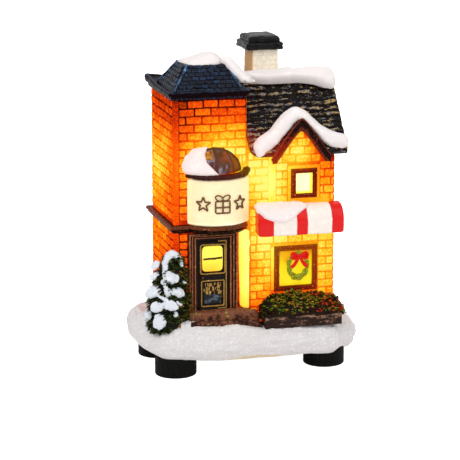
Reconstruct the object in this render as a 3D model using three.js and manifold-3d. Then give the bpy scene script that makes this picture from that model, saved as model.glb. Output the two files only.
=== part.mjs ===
// A small light-up Christmas shop: a painted translucent resin tower and house on a snowy base,
// lit from inside by one LED that three button cells under the base feed through a slide switch.
// Millimetres, +Z up. The front faces -Y. The origin is on the ground, under the middle of the base.

import * as THREE from 'three';
import { mergeVertices } from 'three/addons/utils/BufferGeometryUtils.js';
import Module from 'manifold-3d';

const wasm = await Module();
wasm.setup();

// Clearances between neighbours
const GAP = 0.3;
const RUNNING_GAP = 0.25;

// Feet and snowy base
const FOOT_RADIUS = 6.25;
const FOOT_HEIGHT = 6;
const FOOT_INSET = 11.8;
const FOOT_FROM_FLANGE = 0.45;
const BASE_HALF_X = 35;
const BASE_HALF_Y = 23;
const BASE_THICKNESS = 8;
const BASE_POWER = 0.7;
const BASE_LUMPS = 9;
const BASE_LUMP_DEPTH = 0.03;
const DRIFT_HEIGHT = 1.8;
const DRIFT_RUN = 8;

// Walls
const WALL = 2;
const TOWER_LEFT = -23.4;
const TOWER_FRONT = -11.5;
const TOWER_WIDTH = 21.9;
const TOWER_BACK_STEP = 1.5;
const TOWER_HEIGHT = 68.6;
const HOUSE_FRONT = -14;
const HOUSE_WIDTH = 26.2;
const LEDGE_BELOW_AWNING_TOP = 1;

// Cornice round the tower
const CORNICE_ABOVE_BASE = 29;
const CORNICE_HEIGHT = 2.5;
const CORNICE_REACH = 1.8;
const CORNICE_STEP = 0.7;

// Main roof, ridge along X
const EAVE_ABOVE_BASE = 52.6;
const RIDGE_RISE = 19.6;
const EAVE_REACH = 2.5;
const VERGE_REACH = 3.6;
const ROOF_THICKNESS = 1.5;

// Gable over the upper window, ridge along Y
const GABLE_X = 14.1;
const GABLE_RISE = 11.7;
const GABLE_FOOT_BELOW_EAVE = 1.6;
const GABLE_HALF_WIDTH = 8.5;
const GABLE_REACH = 2.5;
const GABLE_ROOF_THICKNESS = 1.3;
const BARGE_FOOT_BELOW_GABLE = 1.6;
const BARGE_DEPTH = 0.9;
const BARGE_HEIGHT = 4.1;
const BARGE_BELOW_ROOF = 0.2;
const BARGE_LAP = 0.4;

// Tower roof
const RIM_HEIGHT = 2.6;
const RIM_REACH = 1.9;
const RIM_REACH_RIGHT = 0.9;
const RIM_STEP = 2;
const HIP_RISE = 6.8;
const PLATEAU_INSET_LEFT = 5.8;
const PLATEAU_INSET_RIGHT = 4;
const PLATEAU_INSET_FRONT = 5.9;
const PLATEAU_INSET_BACK = 8;

// Chimney
const CHIMNEY_X = 8;
const CHIMNEY_FROM_RIDGE = 0.8;
const STACK_WIDTH = 8.2;
const STACK_DEPTH = 8.6;
const STACK_ABOVE_RIDGE = 8.6;
const STACK_TAPER = 0.5;
const CAP_REACH = 1.6;
const CAP_HEIGHT = 2.4;
const HOOD_HEIGHT = 2.1;
const HOOD_INSET = 0.2;
const HOOD_SLOPE = 1.5;

// Round bay over the door: sign, rim and half dome
const BAY_X = -10.2;
const BAY_RADIUS = 10.5;
const BAY_BULGE = 6;
const BAY_WALL = 1.5;
const BAY_RIM_REACH = 0.4;
const BAY_RIM_HEIGHT = 1.2;
const SIGN_HEIGHT = 14.1;
const DOME_INSET = 1.2;
const DOME_HEIGHT = 8;

// Door and doorstep
const DOOR_X = -11.8;
const DOOR_WIDTH = 9.8;
const DOOR_HEIGHT = 21.6;
const DOOR_THICKNESS = 1.2;
const DOOR_FRAME_WIDTH = 2.6;
const DOOR_FRAME_HEADER = 1.9;
const DOOR_FRAME_DEPTH = 1.4;
const DOOR_GLASS_WIDTH = 6.6;
const DOOR_GLASS_HEIGHT = 8.2;
const DOOR_GLASS_ABOVE_SILL = 11.2;
const DOOR_PANEL_HEIGHT = 7.3;
const DOOR_PANEL_ABOVE_SILL = 1.2;
const PANEL_RECESS = 0.5;
const KNOB_RADIUS = 0.55;
const KNOB_ABOVE_SILL = 9.8;
const STEP_REACH = 6.5;
const STEP_LEFT_INSET = 1.8;
const STEP_RIGHT_LAP = 3.2;
const STEP_TREAD = 2;
const LOWER_STEP_HEIGHT = 2.9;
const UPPER_STEP_HEIGHT = 2.3;

// Windows of the house
const PANE_THICKNESS = 0.8;
const FRAME_DEPTH = 1.1;
const FRAME_LAP = 0.6;
const UPPER_WINDOW = { x: 15.6, aboveBase: 42.7, width: 8, height: 8.9, bar: 1.35 };
const LOWER_WINDOW = { x: 13.2, aboveBase: 16.9, width: 13.4, height: 13.9, bar: 1.65 };
const WREATH_FROM_MIDDLE = 0.9;
const WREATH_RADIUS = 2.9;
const WREATH_TUBE = 0.8;
const BOW_WIDTH = 4.6;
const BOW_LOOP = 1.2;
const BOW_KNOT = 0.5;
const BOW_TAIL = 3.1;
const BOW_TAIL_SPREAD = 1.7;
const BOW_TAIL_WIDTH = 1.1;
const BOW_THICKNESS = 0.8;

// Awning
const AWNING_LEFT = 0.6;
const AWNING_RIGHT = 27;
const AWNING_ABOVE_BASE = 36.8;
const AWNING_HEIGHT = 9;
const AWNING_REACH = 4.9;
const VALANCE_HEIGHT = 3;
const VALANCE_DEPTH = 1.4;
const AWNING_HEEL = 1;

// Planter, shrubs and fir tree
const PLANTER_LEFT = 2.5;
const PLANTER_RIGHT = 26.3;
const PLANTER_DEPTH = 5;
const PLANTER_HEIGHT = 3.2;
const SHRUB_HEIGHT = 7;
const SHRUB_COUNT = 6;
const SHRUB_OVERLAP = 1.56;
const SHRUB_ROOT = 0.5;
const TREE_BESIDE_TOWER = 3.6;
const TREE_BEFORE_TOWER = 1.9;
const TREE_HEIGHT = 23.4;
const TREE_RADIUS_X = 6.8;
const TREE_RADIUS_Y = 4.8;
const TREE_TIERS = 4;
const TREE_CAP_HEIGHT = 4.6;
const TREE_CAP_THICKNESS = 0.8;

// Snow on the roofs
const RIDGE_SNOW = 3;
const RIDGE_SNOW_LEFT = 0.4;
const RIDGE_SNOW_FRONT = 3.6;
const RIDGE_SNOW_BACK = 6;
const RIDGE_SNOW_ROUND = 0.3;
const RIDGE_SNOW_PAST_VERGE = 0.8;
const RIDGE_SNOW_SUNK = 1.5;
const GABLE_SNOW = 3.2;
const GABLE_SNOW_DEPTH = 5.2;
const GABLE_SNOW_SLOPE = 0.86;
const GABLE_SNOW_PAST_ROOF = 0.5;
const PLATEAU_SNOW = 3;
const PLATEAU_SNOW_LAP = 1.1;
const PLATEAU_SNOW_SHIFT = 1;
const DOME_SNOW = 1.1;
const DOME_SNOW_SHIFT = 1.6;
const DOME_SNOW_EDGE = 1.5;
const AWNING_SNOW = 1.5;
const AWNING_SNOW_LENGTH = 16.4;
const AWNING_SNOW_DROP = 5.4;
const AWNING_SNOW_SUNK = 2.6;

// Button cells
const CELL_RADIUS = 5.8;
const CELL_HEIGHT = 5.4;
const CELL_STEP = 0.3;
const CELL_COUNT = 3;
const CELL_PITCH = CELL_HEIGHT + 0.02;

// Battery housing
const HOUSING_X = -2.5;
const TROUGH_WALL = 1.2;
const SPRING_ROOM = 2;
const BACK_ROOM = 0.44;
const CONTACT_THICKNESS = 0.4;
const CONTACT_SIZE = 9;
const TAB_WIDTH = 3;
const TAB_RISE = 1.4;
const FLANGE_HALF_X = 16.5;
const FLANGE_BACK = 17;
const FLANGE_LAP = 1.4;
const FLANGE_THICKNESS = 2.6;
const FLANGE_DROP = 2;

// Sliding battery lid
const LID_WIDTH = 15;
const LID_PLATE = 0.95;
const TONGUE_REACH = 1;
const TONGUE_HEIGHT = 0.8;
const LID_RIBS = 5;
const LID_RIB = 0.5;

// Slide switch
const SWITCH_X = 11;
const SWITCH_Y = 6;
const SWITCH_WIDTH = 4.6;
const SWITCH_LENGTH = 8.6;
const SWITCH_HEIGHT = 3.6;
const SWITCH_CAN = 0.6;
const SWITCH_TRAVEL = 2;
const KNOB_SIZE = 2;
const KNOB_DROP = 1.2;
const SLIDER_LENGTH = 3.6;
const SLIDER_HEIGHT = 1.8;

// Housing screws
const SCREW_PLACES = [[-13.9, 4], [13.4, -6]];
const SCREW_RADIUS = 1;
const SCREW_HEAD_RADIUS = 1.6;
const SCREW_HEAD_HEIGHT = 1.1;
const SCREW_LENGTH = 6;

// Circuit board with the LED
const BOARD_X = -3;
const BOARD_WIDTH = 13;
const BOARD_DEPTH = 10;
const BOARD_THICKNESS = 1;
const PEG_HEIGHT = 1.2;
const PEG_RADIUS = 0.9;
const PEG_PIN_RADIUS = 0.5;
const PEG_Y = 3.2;
const LED_X = -1;
const LED_RADIUS = 2.5;
const LED_BARREL = 5.1;
const LED_FLANGE_RADIUS = 2.9;
const LED_FLANGE = 1;
const LED_STANDOFF = 3;
const LEAD_SIZE = 0.5;
const LEAD_PITCH = 2.54;
const LEAD_TAIL = 0.7;
const RESISTOR_RADIUS = 0.9;
const RESISTOR_LENGTH = 3.8;
const RESISTOR_PITCH = 6;
const RESISTOR_X = 2.4;
const WIRE_RADIUS = 0.6;

// Worked out from the values above
const BASE_TOP = FOOT_HEIGHT + BASE_THICKNESS;
const FOOT_X = FLANGE_HALF_X + FOOT_FROM_FLANGE + FOOT_RADIUS;
const TREE_X = TOWER_LEFT - TREE_BESIDE_TOWER;
const TREE_Y = TOWER_FRONT - TREE_BEFORE_TOWER;
const TROUGH_LENGTH = CELL_COUNT * CELL_PITCH + CONTACT_THICKNESS * 2 + SPRING_ROOM + GAP;
const TROUGH_FRONT = TOWER_FRONT + WALL + GAP + TROUGH_WALL;
const TROUGH_BACK = TROUGH_FRONT + TROUGH_LENGTH;
const TOWER_RIGHT = TOWER_LEFT + TOWER_WIDTH;
const HOUSE_LEFT = TOWER_RIGHT + GAP;
const HOUSE_RIGHT = HOUSE_LEFT + HOUSE_WIDTH;
const HOUSE_BACK = TROUGH_BACK + TROUGH_WALL + BACK_ROOM + WALL;
const HOUSE_DEPTH = HOUSE_BACK - HOUSE_FRONT;
const TOWER_BACK = HOUSE_BACK + TOWER_BACK_STEP;
const TOWER_TOP = BASE_TOP + TOWER_HEIGHT;
const CORNICE_BOTTOM = BASE_TOP + CORNICE_ABOVE_BASE;
const CORNICE_TOP = CORNICE_BOTTOM + CORNICE_HEIGHT;
const EAVE_Z = BASE_TOP + EAVE_ABOVE_BASE;
const RIDGE_Z = EAVE_Z + RIDGE_RISE;
const STACK_TOP = RIDGE_Z + STACK_ABOVE_RIDGE;
const RIDGE_Y = (HOUSE_FRONT + HOUSE_BACK) / 2;
const CHIMNEY_Y = RIDGE_Y + CHIMNEY_FROM_RIDGE + STACK_DEPTH / 2;
const ROOF_RUN = HOUSE_DEPTH / 2 + EAVE_REACH;
const ROOF_SLOPE = (RIDGE_Z - EAVE_Z) / ROOF_RUN;
const ROOF_DROP = ROOF_THICKNESS * Math.hypot(1, ROOF_SLOPE);
const GABLE_FOOT_Z = EAVE_Z - GABLE_FOOT_BELOW_EAVE;
const GABLE_TOP = GABLE_FOOT_Z + GABLE_RISE;
const BARGE_FOOT_Z = GABLE_FOOT_Z - BARGE_FOOT_BELOW_GABLE;
const GABLE_SLOPE = GABLE_RISE / GABLE_HALF_WIDTH;
const GABLE_DROP = GABLE_ROOF_THICKNESS * Math.hypot(1, GABLE_SLOPE);
const BAY_Y = TOWER_FRONT - BAY_BULGE + BAY_RADIUS;
const SIGN_TOP = CORNICE_TOP + SIGN_HEIGHT;
const DOME_BOTTOM = SIGN_TOP + BAY_RIM_HEIGHT;
const RIM_TOP = TOWER_TOP + RIM_HEIGHT;
const PLATEAU_Z = RIM_TOP + HIP_RISE;
const LOWER_STEP_TOP = BASE_TOP + LOWER_STEP_HEIGHT;
const DOOR_SILL = LOWER_STEP_TOP + UPPER_STEP_HEIGHT;
const STEP_FRONT = TOWER_FRONT - STEP_REACH;
const STEP_LEFT = TOWER_LEFT + STEP_LEFT_INSET;
const STEP_RIGHT = HOUSE_LEFT + STEP_RIGHT_LAP;
const AWNING_TOP = BASE_TOP + AWNING_ABOVE_BASE;
const LEDGE_Z = AWNING_TOP - LEDGE_BELOW_AWNING_TOP;
const RECESS_FRONT = TOWER_FRONT + GAP;
const RECESS_RIGHT = GABLE_X - GABLE_HALF_WIDTH;
const FLANGE_BOTTOM = FOOT_HEIGHT - FLANGE_DROP;
const FLANGE_TOP = FLANGE_BOTTOM + FLANGE_THICKNESS;
const FLANGE_FRONT = TROUGH_FRONT - TROUGH_WALL - FLANGE_LAP;
const TROUGH_HALF = CELL_RADIUS + GAP;
const LID_FRONT = TROUGH_FRONT - TROUGH_WALL;
const LID_TOP = FLANGE_BOTTOM + LID_PLATE + TONGUE_HEIGHT;
const CELL_Z = LID_TOP + RUNNING_GAP + GAP + CELL_RADIUS;
const TROUGH_TOP = CELL_Z + CELL_RADIUS + GAP + TROUGH_WALL;
const BOARD_BOTTOM = TROUGH_TOP + PEG_HEIGHT;
const BOARD_TOP = BOARD_BOTTOM + BOARD_THICKNESS;
const FIRST_CELL = TROUGH_FRONT + CONTACT_THICKNESS + SPRING_ROOM;

// Reaches past everything, for blocks that cut a piece off at a plane
const FAR = 200;
const ALL = [-FAR, FAR];

// A closed geometry as a solid that can be joined and cut.
function solidOf(geometry) {
  const bare = geometry.index ? geometry.toNonIndexed() : geometry.clone();
  Object.keys(bare.attributes)
    .filter((key) => key !== 'position')
    .forEach((key) => bare.deleteAttribute(key));
  const merged = mergeVertices(bare, 1e-4);
  const vertProperties = merged.attributes.position.array;
  const triVerts = new Uint32Array(merged.index.array);
  return new wasm.Manifold(new wasm.Mesh({ numProp: 3, vertProperties, triVerts }));
}

// A solid as a geometry with flat-shaded normals.
function geometryOf(solid) {
  const { numProp, numVert, vertProperties, triVerts } = solid.getMesh();
  const positions = new Float32Array(numVert * 3);
  for (let i = 0; i < numVert; i++) {
    positions.set(vertProperties.subarray(i * numProp, i * numProp + 3), i * 3);
  }
  const geometry = new THREE.BufferGeometry();
  geometry.setAttribute('position', new THREE.BufferAttribute(positions, 3));
  geometry.setIndex(new THREE.BufferAttribute(triVerts, 1));
  const flat = geometry.toNonIndexed();
  flat.computeVertexNormals();
  return flat;
}

const join = (first, ...others) => others.reduce((sum, next) => sum.add(next), first);
const cut = (first, ...tools) => tools.reduce((rest, tool) => rest.subtract(tool), first);

// A box between two values on each axis.
function box([x0, x1], [y0, y1], [z0, z1]) {
  const geometry = new THREE.BoxGeometry(x1 - x0, y1 - y0, z1 - z0);
  return solidOf(geometry.translate((x0 + x1) / 2, (y0 + y1) / 2, (z0 + z1) / 2));
}

// An outline pushed along an axis. The outline's points are (y, z) for X, (x, z) for Y and (x, y) for Z.
function prism(outline, axis, from, to) {
  const shape = new THREE.Shape(outline.map(([a, b]) => new THREE.Vector2(a, b)));
  const geometry = new THREE.ExtrudeGeometry(shape, { depth: to - from, bevelEnabled: false });
  const place = {
    x: (a, b, c) => [from + c, a, b],
    y: (a, b, c) => [a, to - c, b],
    z: (a, b, c) => [a, b, from + c],
  }[axis];
  const p = geometry.attributes.position;
  for (let i = 0; i < p.count; i++) p.setXYZ(i, ...place(p.getX(i), p.getY(i), p.getZ(i)));
  return solidOf(geometry);
}

// A round bar along an axis, through the point at its start.
function bar(axis, [x, y, z], radius, length, sides, endRadius = radius) {
  const geometry = new THREE.CylinderGeometry(endRadius, radius, length, sides);
  geometry.translate(0, length / 2, 0);
  if (axis === 'z') geometry.rotateX(Math.PI / 2);
  if (axis === 'x') geometry.rotateZ(-Math.PI / 2);
  return solidOf(geometry.translate(x, y, z));
}

// A closed skin over a stack of rings. Ring i has `sides` points, point(i, turn), with turn from 0 to 1.
function skin(rings, sides, point) {
  const positions = [];
  for (let i = 0; i < rings; i++) {
    for (let j = 0; j < sides; j++) positions.push(...point(i, j / sides));
  }
  const centre = (ring) => [0, 1, 2].map((axis) => {
    let sum = 0;
    for (let j = 0; j < sides; j++) sum += positions[(ring * sides + j) * 3 + axis];
    return sum / sides;
  });
  positions.push(...centre(0), ...centre(rings - 1));
  const first = rings * sides;
  const faces = [];
  for (let j = 0; j < sides; j++) {
    const next = (j + 1) % sides;
    for (let i = 0; i < rings - 1; i++) {
      const [a, b] = [i * sides + j, i * sides + next];
      faces.push(a, b, b + sides, a, b + sides, a + sides);
    }
    const top = (rings - 1) * sides;
    faces.push(first, next, j, first + 1, top + j, top + next);
  }
  const geometry = new THREE.BufferGeometry();
  geometry.setAttribute('position', new THREE.Float32BufferAttribute(positions, 3));
  geometry.setIndex(faces);
  return solidOf(geometry);
}

// An ellipsoid standing on its Z axis.
function ellipsoid([x, y, z], [a, b, c], rings, sides) {
  return skin(rings, sides, (i, turn) => {
    const lift = -Math.PI / 2 + (Math.PI * (i + 0.5)) / rings;
    const round = turn * 2 * Math.PI;
    return [
      x + a * Math.cos(lift) * Math.cos(round),
      y + b * Math.cos(lift) * Math.sin(round),
      z + (c * Math.sin(lift)) / Math.sin(Math.PI / 2 - Math.PI / (2 * rings)),
    ];
  });
}

// A block whose top rectangle differs from its bottom one.
function frustum(bottom, z0, top, z1) {
  const corners = ([[x0, x1], [y0, y1]]) => [[x0, y0], [x1, y0], [x1, y1], [x0, y1]];
  const levels = [[corners(bottom), z0], [corners(top), z1]];
  return skin(2, 4, (i, turn) => {
    const [x, y] = levels[i][0][Math.round(turn * 4)];
    return [x, y, levels[i][1]];
  });
}

const group = new THREE.Group();

// Adds one named piece with its own material.
function piece(name, solid, [color, roughness, metalness = 0]) {
  const material = new THREE.MeshStandardMaterial({ color, roughness, metalness });
  const mesh = new THREE.Mesh(geometryOf(solid), material);
  mesh.name = name;
  group.add(mesh);
}

const SNOW = [0xf1eeee, 0.85];
const BRICK = [0xf08a2c, 0.6];
const DARK_WOOD = [0x3c241b, 0.5];
const SLATE = [0x1e2a3a, 0.45];
const TILE = [0x24262a, 0.5];
const CREAM = [0xe7d6b0, 0.6];
const GLOW = [0xffe27a, 0.4];
const BLACK_RUBBER = [0x151413, 0.8];
const BLACK_PLASTIC = [0x17181a, 0.45];
const STEEL = [0xb9bcc0, 0.3, 1];
const smooth = (t) => {
  const s = Math.min(1, Math.max(0, t));
  return s * s * (3 - 2 * s);
};

// Feet
for (const [side, sx] of [['left', -1], ['right', 1]]) {
  for (const [end, sy] of [['front', -1], ['back', 1]]) {
    const place = [sx * FOOT_X, sy * (BASE_HALF_Y - FOOT_INSET), 0];
    const foot = bar('z', place, FOOT_RADIUS, FOOT_HEIGHT, 32);
    piece(`foot_${end}_${side}`, foot, BLACK_RUBBER);
  }
}

// What the house stands on, and the tower and house together, grown by a clearance.
const houseBlock = (grow, from, to) => box(
  [HOUSE_LEFT - grow, HOUSE_RIGHT + grow], [HOUSE_FRONT - grow, HOUSE_BACK + grow], [from, to],
);
const wallFootprint = (grow, from, to) => join(
  box([TOWER_LEFT - grow, TOWER_RIGHT + grow], [TOWER_FRONT - grow, TOWER_BACK + grow], [from, to]),
  houseBlock(grow, from, to),
);

// Snowy base: a rounded slab whose outline is a superellipse, with drifts by the left and back walls.
const BASE_SIDES = 48;
const BASE_RINGS = [
  [3.4, FOOT_HEIGHT, 0],
  [1.1, FOOT_HEIGHT + 1, 0],
  [0, FOOT_HEIGHT + 3.4, 0.1],
  [0.8, FOOT_HEIGHT + 6, 0.6],
  [2.8, BASE_TOP - 0.4, 1],
  [5.4, BASE_TOP, 1],
  [9, BASE_TOP, 1],
  [14, BASE_TOP, 1],
];

function baseOutline(turn, inset) {
  const angle = turn * 2 * Math.PI;
  const [c, s] = [Math.cos(angle), Math.sin(angle)];
  const lump = 1 - BASE_LUMP_DEPTH * Math.sin(2 * angle) ** 2 * (1 + Math.cos(BASE_LUMPS * angle));
  return [
    (BASE_HALF_X - inset) * lump * Math.sign(c) * Math.abs(c) ** BASE_POWER,
    (BASE_HALF_Y - inset) * lump * Math.sign(s) * Math.abs(s) ** BASE_POWER,
  ];
}

const screwHole = (place) => bar(
  'z', [...place, FLANGE_BOTTOM], SCREW_RADIUS + GAP, SCREW_HEAD_HEIGHT + SCREW_LENGTH + GAP, 12,
);

// The flange's rounded outline, grown by a clearance.
const FLANGE_ROUND = 2;
function flangeOutline(grow) {
  const right = FLANGE_HALF_X - FLANGE_ROUND;
  const back = FLANGE_BACK - FLANGE_ROUND;
  const front = FLANGE_FRONT + FLANGE_ROUND;
  const corners = [[right, back], [-right, back], [-right, front], [right, front]];
  return corners.flatMap(([x, y], quarter) => Array.from({ length: 4 }, (_, k) => {
    const a = ((quarter + k / 3) * Math.PI) / 2;
    return [x + (FLANGE_ROUND + grow) * Math.cos(a), y + (FLANGE_ROUND + grow) * Math.sin(a)];
  }));
}

const trough = {
  x: [HOUSING_X - TROUGH_HALF - TROUGH_WALL, HOUSING_X + TROUGH_HALF + TROUGH_WALL],
  y: [TROUGH_FRONT - TROUGH_WALL, TROUGH_BACK + TROUGH_WALL],
};
const switchPocket = {
  x: [SWITCH_X - SWITCH_WIDTH / 2 - GAP, SWITCH_X + SWITCH_WIDTH / 2 + GAP],
  y: [SWITCH_Y - SWITCH_LENGTH / 2 - GAP, SWITCH_Y + SWITCH_LENGTH / 2 + GAP],
};
const grown = ([low, high], by) => [low - by, high + by];
const pocketWall = {
  x: grown(switchPocket.x, TROUGH_WALL - GAP),
  y: grown(switchPocket.y, TROUGH_WALL - GAP),
};
const baseThrough = [0, BASE_TOP + DRIFT_HEIGHT];

const baseSlab = skin(BASE_RINGS.length, BASE_SIDES, (i, turn) => {
  const [inset, z, share] = BASE_RINGS[i];
  const [x, y] = baseOutline(turn, inset);
  const beside = smooth((-x - BASE_HALF_X / 2) / DRIFT_RUN);
  const behind = 0.6 * smooth((y - BASE_HALF_Y / 3) / DRIFT_RUN);
  const drift = Math.max(beside, behind) * smooth((y + DRIFT_RUN) / DRIFT_RUN);
  return [x, y, z + DRIFT_HEIGHT * share * drift];
});
piece('snow_base', cut(
  baseSlab,
  wallFootprint(GAP, BASE_TOP, TOWER_TOP),
  box(grown(trough.x, GAP), grown(trough.y, GAP), baseThrough),
  box(grown(pocketWall.x, GAP), grown(pocketWall.y, GAP), baseThrough),
  prism(flangeOutline(GAP), 'z', 0, FLANGE_TOP + GAP),
  ...SCREW_PLACES.map(screwHole),
), SNOW);

// Tower walls, below and above the cornice
const towerRing = (z) => cut(
  box([TOWER_LEFT, TOWER_RIGHT], [TOWER_FRONT, TOWER_BACK], z),
  box([TOWER_LEFT + WALL, TOWER_RIGHT - WALL], [TOWER_FRONT + WALL, TOWER_BACK - WALL], grown(z, 1)),
);
const door = {
  x: [DOOR_X - DOOR_WIDTH / 2, DOOR_X + DOOR_WIDTH / 2],
  z: [DOOR_SILL, DOOR_SILL + DOOR_HEIGHT],
};
piece('tower_lower_walls', cut(
  towerRing([BASE_TOP, CORNICE_BOTTOM]),
  box([TOWER_RIGHT - WALL, TOWER_RIGHT + 1], [TOWER_FRONT + WALL, TOWER_BACK - WALL],
    [BASE_TOP - 1, CORNICE_BOTTOM + 1]),
  box(grown(door.x, GAP), [TOWER_FRONT - 1, TOWER_FRONT + WALL + 1], grown(door.z, GAP)),
), BRICK);

const BAY_HALF = Math.sqrt(BAY_RADIUS ** 2 - (BAY_RADIUS - BAY_BULGE) ** 2);
const bayOpening = [BAY_X - BAY_HALF + BAY_WALL * 2, BAY_X + BAY_HALF - BAY_WALL * 2];
piece('tower_upper_walls', cut(
  towerRing([CORNICE_TOP, TOWER_TOP]),
  box(bayOpening, [TOWER_FRONT - 1, TOWER_FRONT + WALL + 1], [CORNICE_TOP + WALL, SIGN_TOP + WALL]),
), BRICK);

// Cornice, with the round ledge that carries the bay
const BAY_SIDES = 48;
const bayDisc = (radius, z0, z1) => bar('z', [BAY_X, BAY_Y, z0], radius, z1 - z0, BAY_SIDES);
const corniceBand = (reach, z) => join(
  towerRing(z),
  cut(
    box([TOWER_LEFT - reach, TOWER_RIGHT], [TOWER_FRONT - reach, TOWER_BACK + reach], z),
    box([TOWER_LEFT + WALL, TOWER_RIGHT + 1], [TOWER_FRONT + WALL, TOWER_BACK - WALL], grown(z, 1)),
  ),
);
const behindTowerFront = box(ALL, [TOWER_FRONT, FAR], ALL);
const ledge = cut(
  bayDisc(BAY_RADIUS + BAY_RIM_REACH, CORNICE_BOTTOM + CORNICE_STEP, CORNICE_TOP),
  behindTowerFront,
  box([TOWER_RIGHT - GAP, FAR], ALL, ALL),
);
piece('tower_cornice', join(
  corniceBand(CORNICE_REACH - CORNICE_STEP, [CORNICE_BOTTOM, CORNICE_BOTTOM + CORNICE_STEP]),
  corniceBand(CORNICE_REACH, [CORNICE_BOTTOM + CORNICE_STEP, CORNICE_TOP]),
  ledge,
), DARK_WOOD);

// House walls: front with its gable, right end and back. The tower closes the left.
// Above the awning the front steps back between the tower and the gable, on a ledge.
const roofTopAt = (y) => RIDGE_Z - ROOF_SLOPE * Math.abs(y - RIDGE_Y);
const wallTopAt = (y) => roofTopAt(y) - ROOF_DROP - GAP;
const windowOutline = ({ x, aboveBase, width, height }) => ({
  x: [x - width / 2, x + width / 2],
  z: [BASE_TOP + aboveBase - height / 2, BASE_TOP + aboveBase + height / 2],
});
const windowHole = (w) => box(
  grown(windowOutline(w).x, -FRAME_LAP), [HOUSE_FRONT - 1, HOUSE_FRONT + WALL + 1],
  grown(windowOutline(w).z, -FRAME_LAP),
);
const gableInnerTop = GABLE_TOP - GABLE_DROP - GAP;
const gableReachAt = (z, top) => (top - z) / GABLE_SLOPE;
const frontTop = wallTopAt(HOUSE_FRONT);
const frontOutline = [
  [HOUSE_LEFT, BASE_TOP],
  [HOUSE_RIGHT, BASE_TOP],
  [HOUSE_RIGHT, frontTop],
  [GABLE_X + gableReachAt(frontTop, gableInnerTop), frontTop],
  [GABLE_X, gableInnerTop],
  [GABLE_X - gableReachAt(frontTop, gableInnerTop), frontTop],
  [HOUSE_LEFT, frontTop],
];
const endOutline = [
  [HOUSE_FRONT, BASE_TOP],
  [HOUSE_BACK, BASE_TOP],
  [HOUSE_BACK, wallTopAt(HOUSE_BACK)],
  [RIDGE_Y, wallTopAt(RIDGE_Y)],
  [HOUSE_FRONT, frontTop],
];
const gablePrism = (top, drop, halfWidth, y0, y1) => prism([
  [GABLE_X - halfWidth, top - GABLE_SLOPE * halfWidth - drop],
  [GABLE_X + halfWidth, top - GABLE_SLOPE * halfWidth - drop],
  [GABLE_X + halfWidth, top - GABLE_SLOPE * halfWidth],
  [GABLE_X, top],
  [GABLE_X - halfWidth, top - GABLE_SLOPE * halfWidth],
], 'y', y0, y1);
const underGableRoof = gablePrism(
  gableInnerTop, FAR, 2 * GABLE_HALF_WIDTH, HOUSE_FRONT - 2, HOUSE_FRONT + WALL + 1,
);
const cornerX = AWNING_LEFT - GAP;
const recessDepth = [HOUSE_FRONT, RECESS_FRONT + WALL];
const recess = join(
  box([HOUSE_LEFT - 1, RECESS_RIGHT], [HOUSE_FRONT - 1, RECESS_FRONT], [LEDGE_Z, FAR]),
  box([HOUSE_LEFT - 1, cornerX], [HOUSE_FRONT - 1, RECESS_FRONT], [CORNICE_TOP, FAR]),
);
const recessWalls = join(
  box([HOUSE_LEFT, RECESS_RIGHT + WALL], recessDepth, [CORNICE_TOP - WALL, CORNICE_TOP]),
  box([HOUSE_LEFT, RECESS_RIGHT + WALL], recessDepth, [LEDGE_Z - WALL, LEDGE_Z]),
  box([cornerX, cornerX + WALL], recessDepth, [CORNICE_TOP - WALL, LEDGE_Z]),
  box([RECESS_RIGHT, RECESS_RIGHT + WALL], recessDepth, [LEDGE_Z, frontTop]),
  box([HOUSE_LEFT, RECESS_RIGHT + WALL], [RECESS_FRONT, RECESS_FRONT + WALL],
    [CORNICE_TOP - WALL, wallTopAt(RECESS_FRONT)]),
);
piece('house_walls', cut(
  join(
    prism(frontOutline, 'y', HOUSE_FRONT, HOUSE_FRONT + WALL),
    prism(endOutline, 'x', HOUSE_RIGHT - WALL, HOUSE_RIGHT),
    box([HOUSE_LEFT, HOUSE_RIGHT], [HOUSE_BACK - WALL, HOUSE_BACK], [BASE_TOP, wallTopAt(HOUSE_BACK)]),
    recessWalls,
  ),
  recess,
  windowHole(UPPER_WINDOW),
  windowHole(LOWER_WINDOW),
  cut(
    box([GABLE_X - GABLE_HALF_WIDTH - GAP, GABLE_X + GABLE_HALF_WIDTH + GAP],
      [HOUSE_FRONT - 1, HOUSE_FRONT + WALL + 2 * GAP], [GABLE_FOOT_Z - 2 * GABLE_DROP, GABLE_TOP]),
    underGableRoof,
  ),
), BRICK);

// The plain rounded strip in the corner between the tower and the house
const pilasterLeft = door.x[1] + DOOR_FRAME_WIDTH + GAP;
const pilasterWidth = TOWER_RIGHT - pilasterLeft;
const pilasterDepth = TOWER_FRONT - HOUSE_FRONT;
const PILASTER_STEPS = 4;
const pilasterOutline = [
  [TOWER_RIGHT, TOWER_FRONT],
  ...Array.from({ length: PILASTER_STEPS + 1 }, (_, i) => {
    const a = (i / PILASTER_STEPS) * Math.PI / 2;
    return [
      TOWER_RIGHT - pilasterWidth * Math.cos(a),
      TOWER_FRONT - GAP - (pilasterDepth - GAP) * Math.sin(a),
    ];
  }),
];
piece('corner_pilaster', prism(pilasterOutline, 'z', DOOR_SILL, CORNICE_BOTTOM), GLOW);

// Main roof, notched round the gable
const roofEndLeft = TOWER_RIGHT + GAP;
const roofEndRight = HOUSE_RIGHT + VERGE_REACH;
const roofOutline = (grow, drop) => {
  const lift = grow * Math.hypot(1, ROOF_SLOPE);
  const run = ROOF_RUN + grow;
  const foot = RIDGE_Z - ROOF_SLOPE * run;
  return [
    [RIDGE_Y - run, foot + lift - drop],
    [RIDGE_Y, RIDGE_Z + lift - drop],
    [RIDGE_Y + run, foot + lift - drop],
    [RIDGE_Y + run, foot + lift],
    [RIDGE_Y, RIDGE_Z + lift],
    [RIDGE_Y - run, foot + lift],
  ];
};
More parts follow.
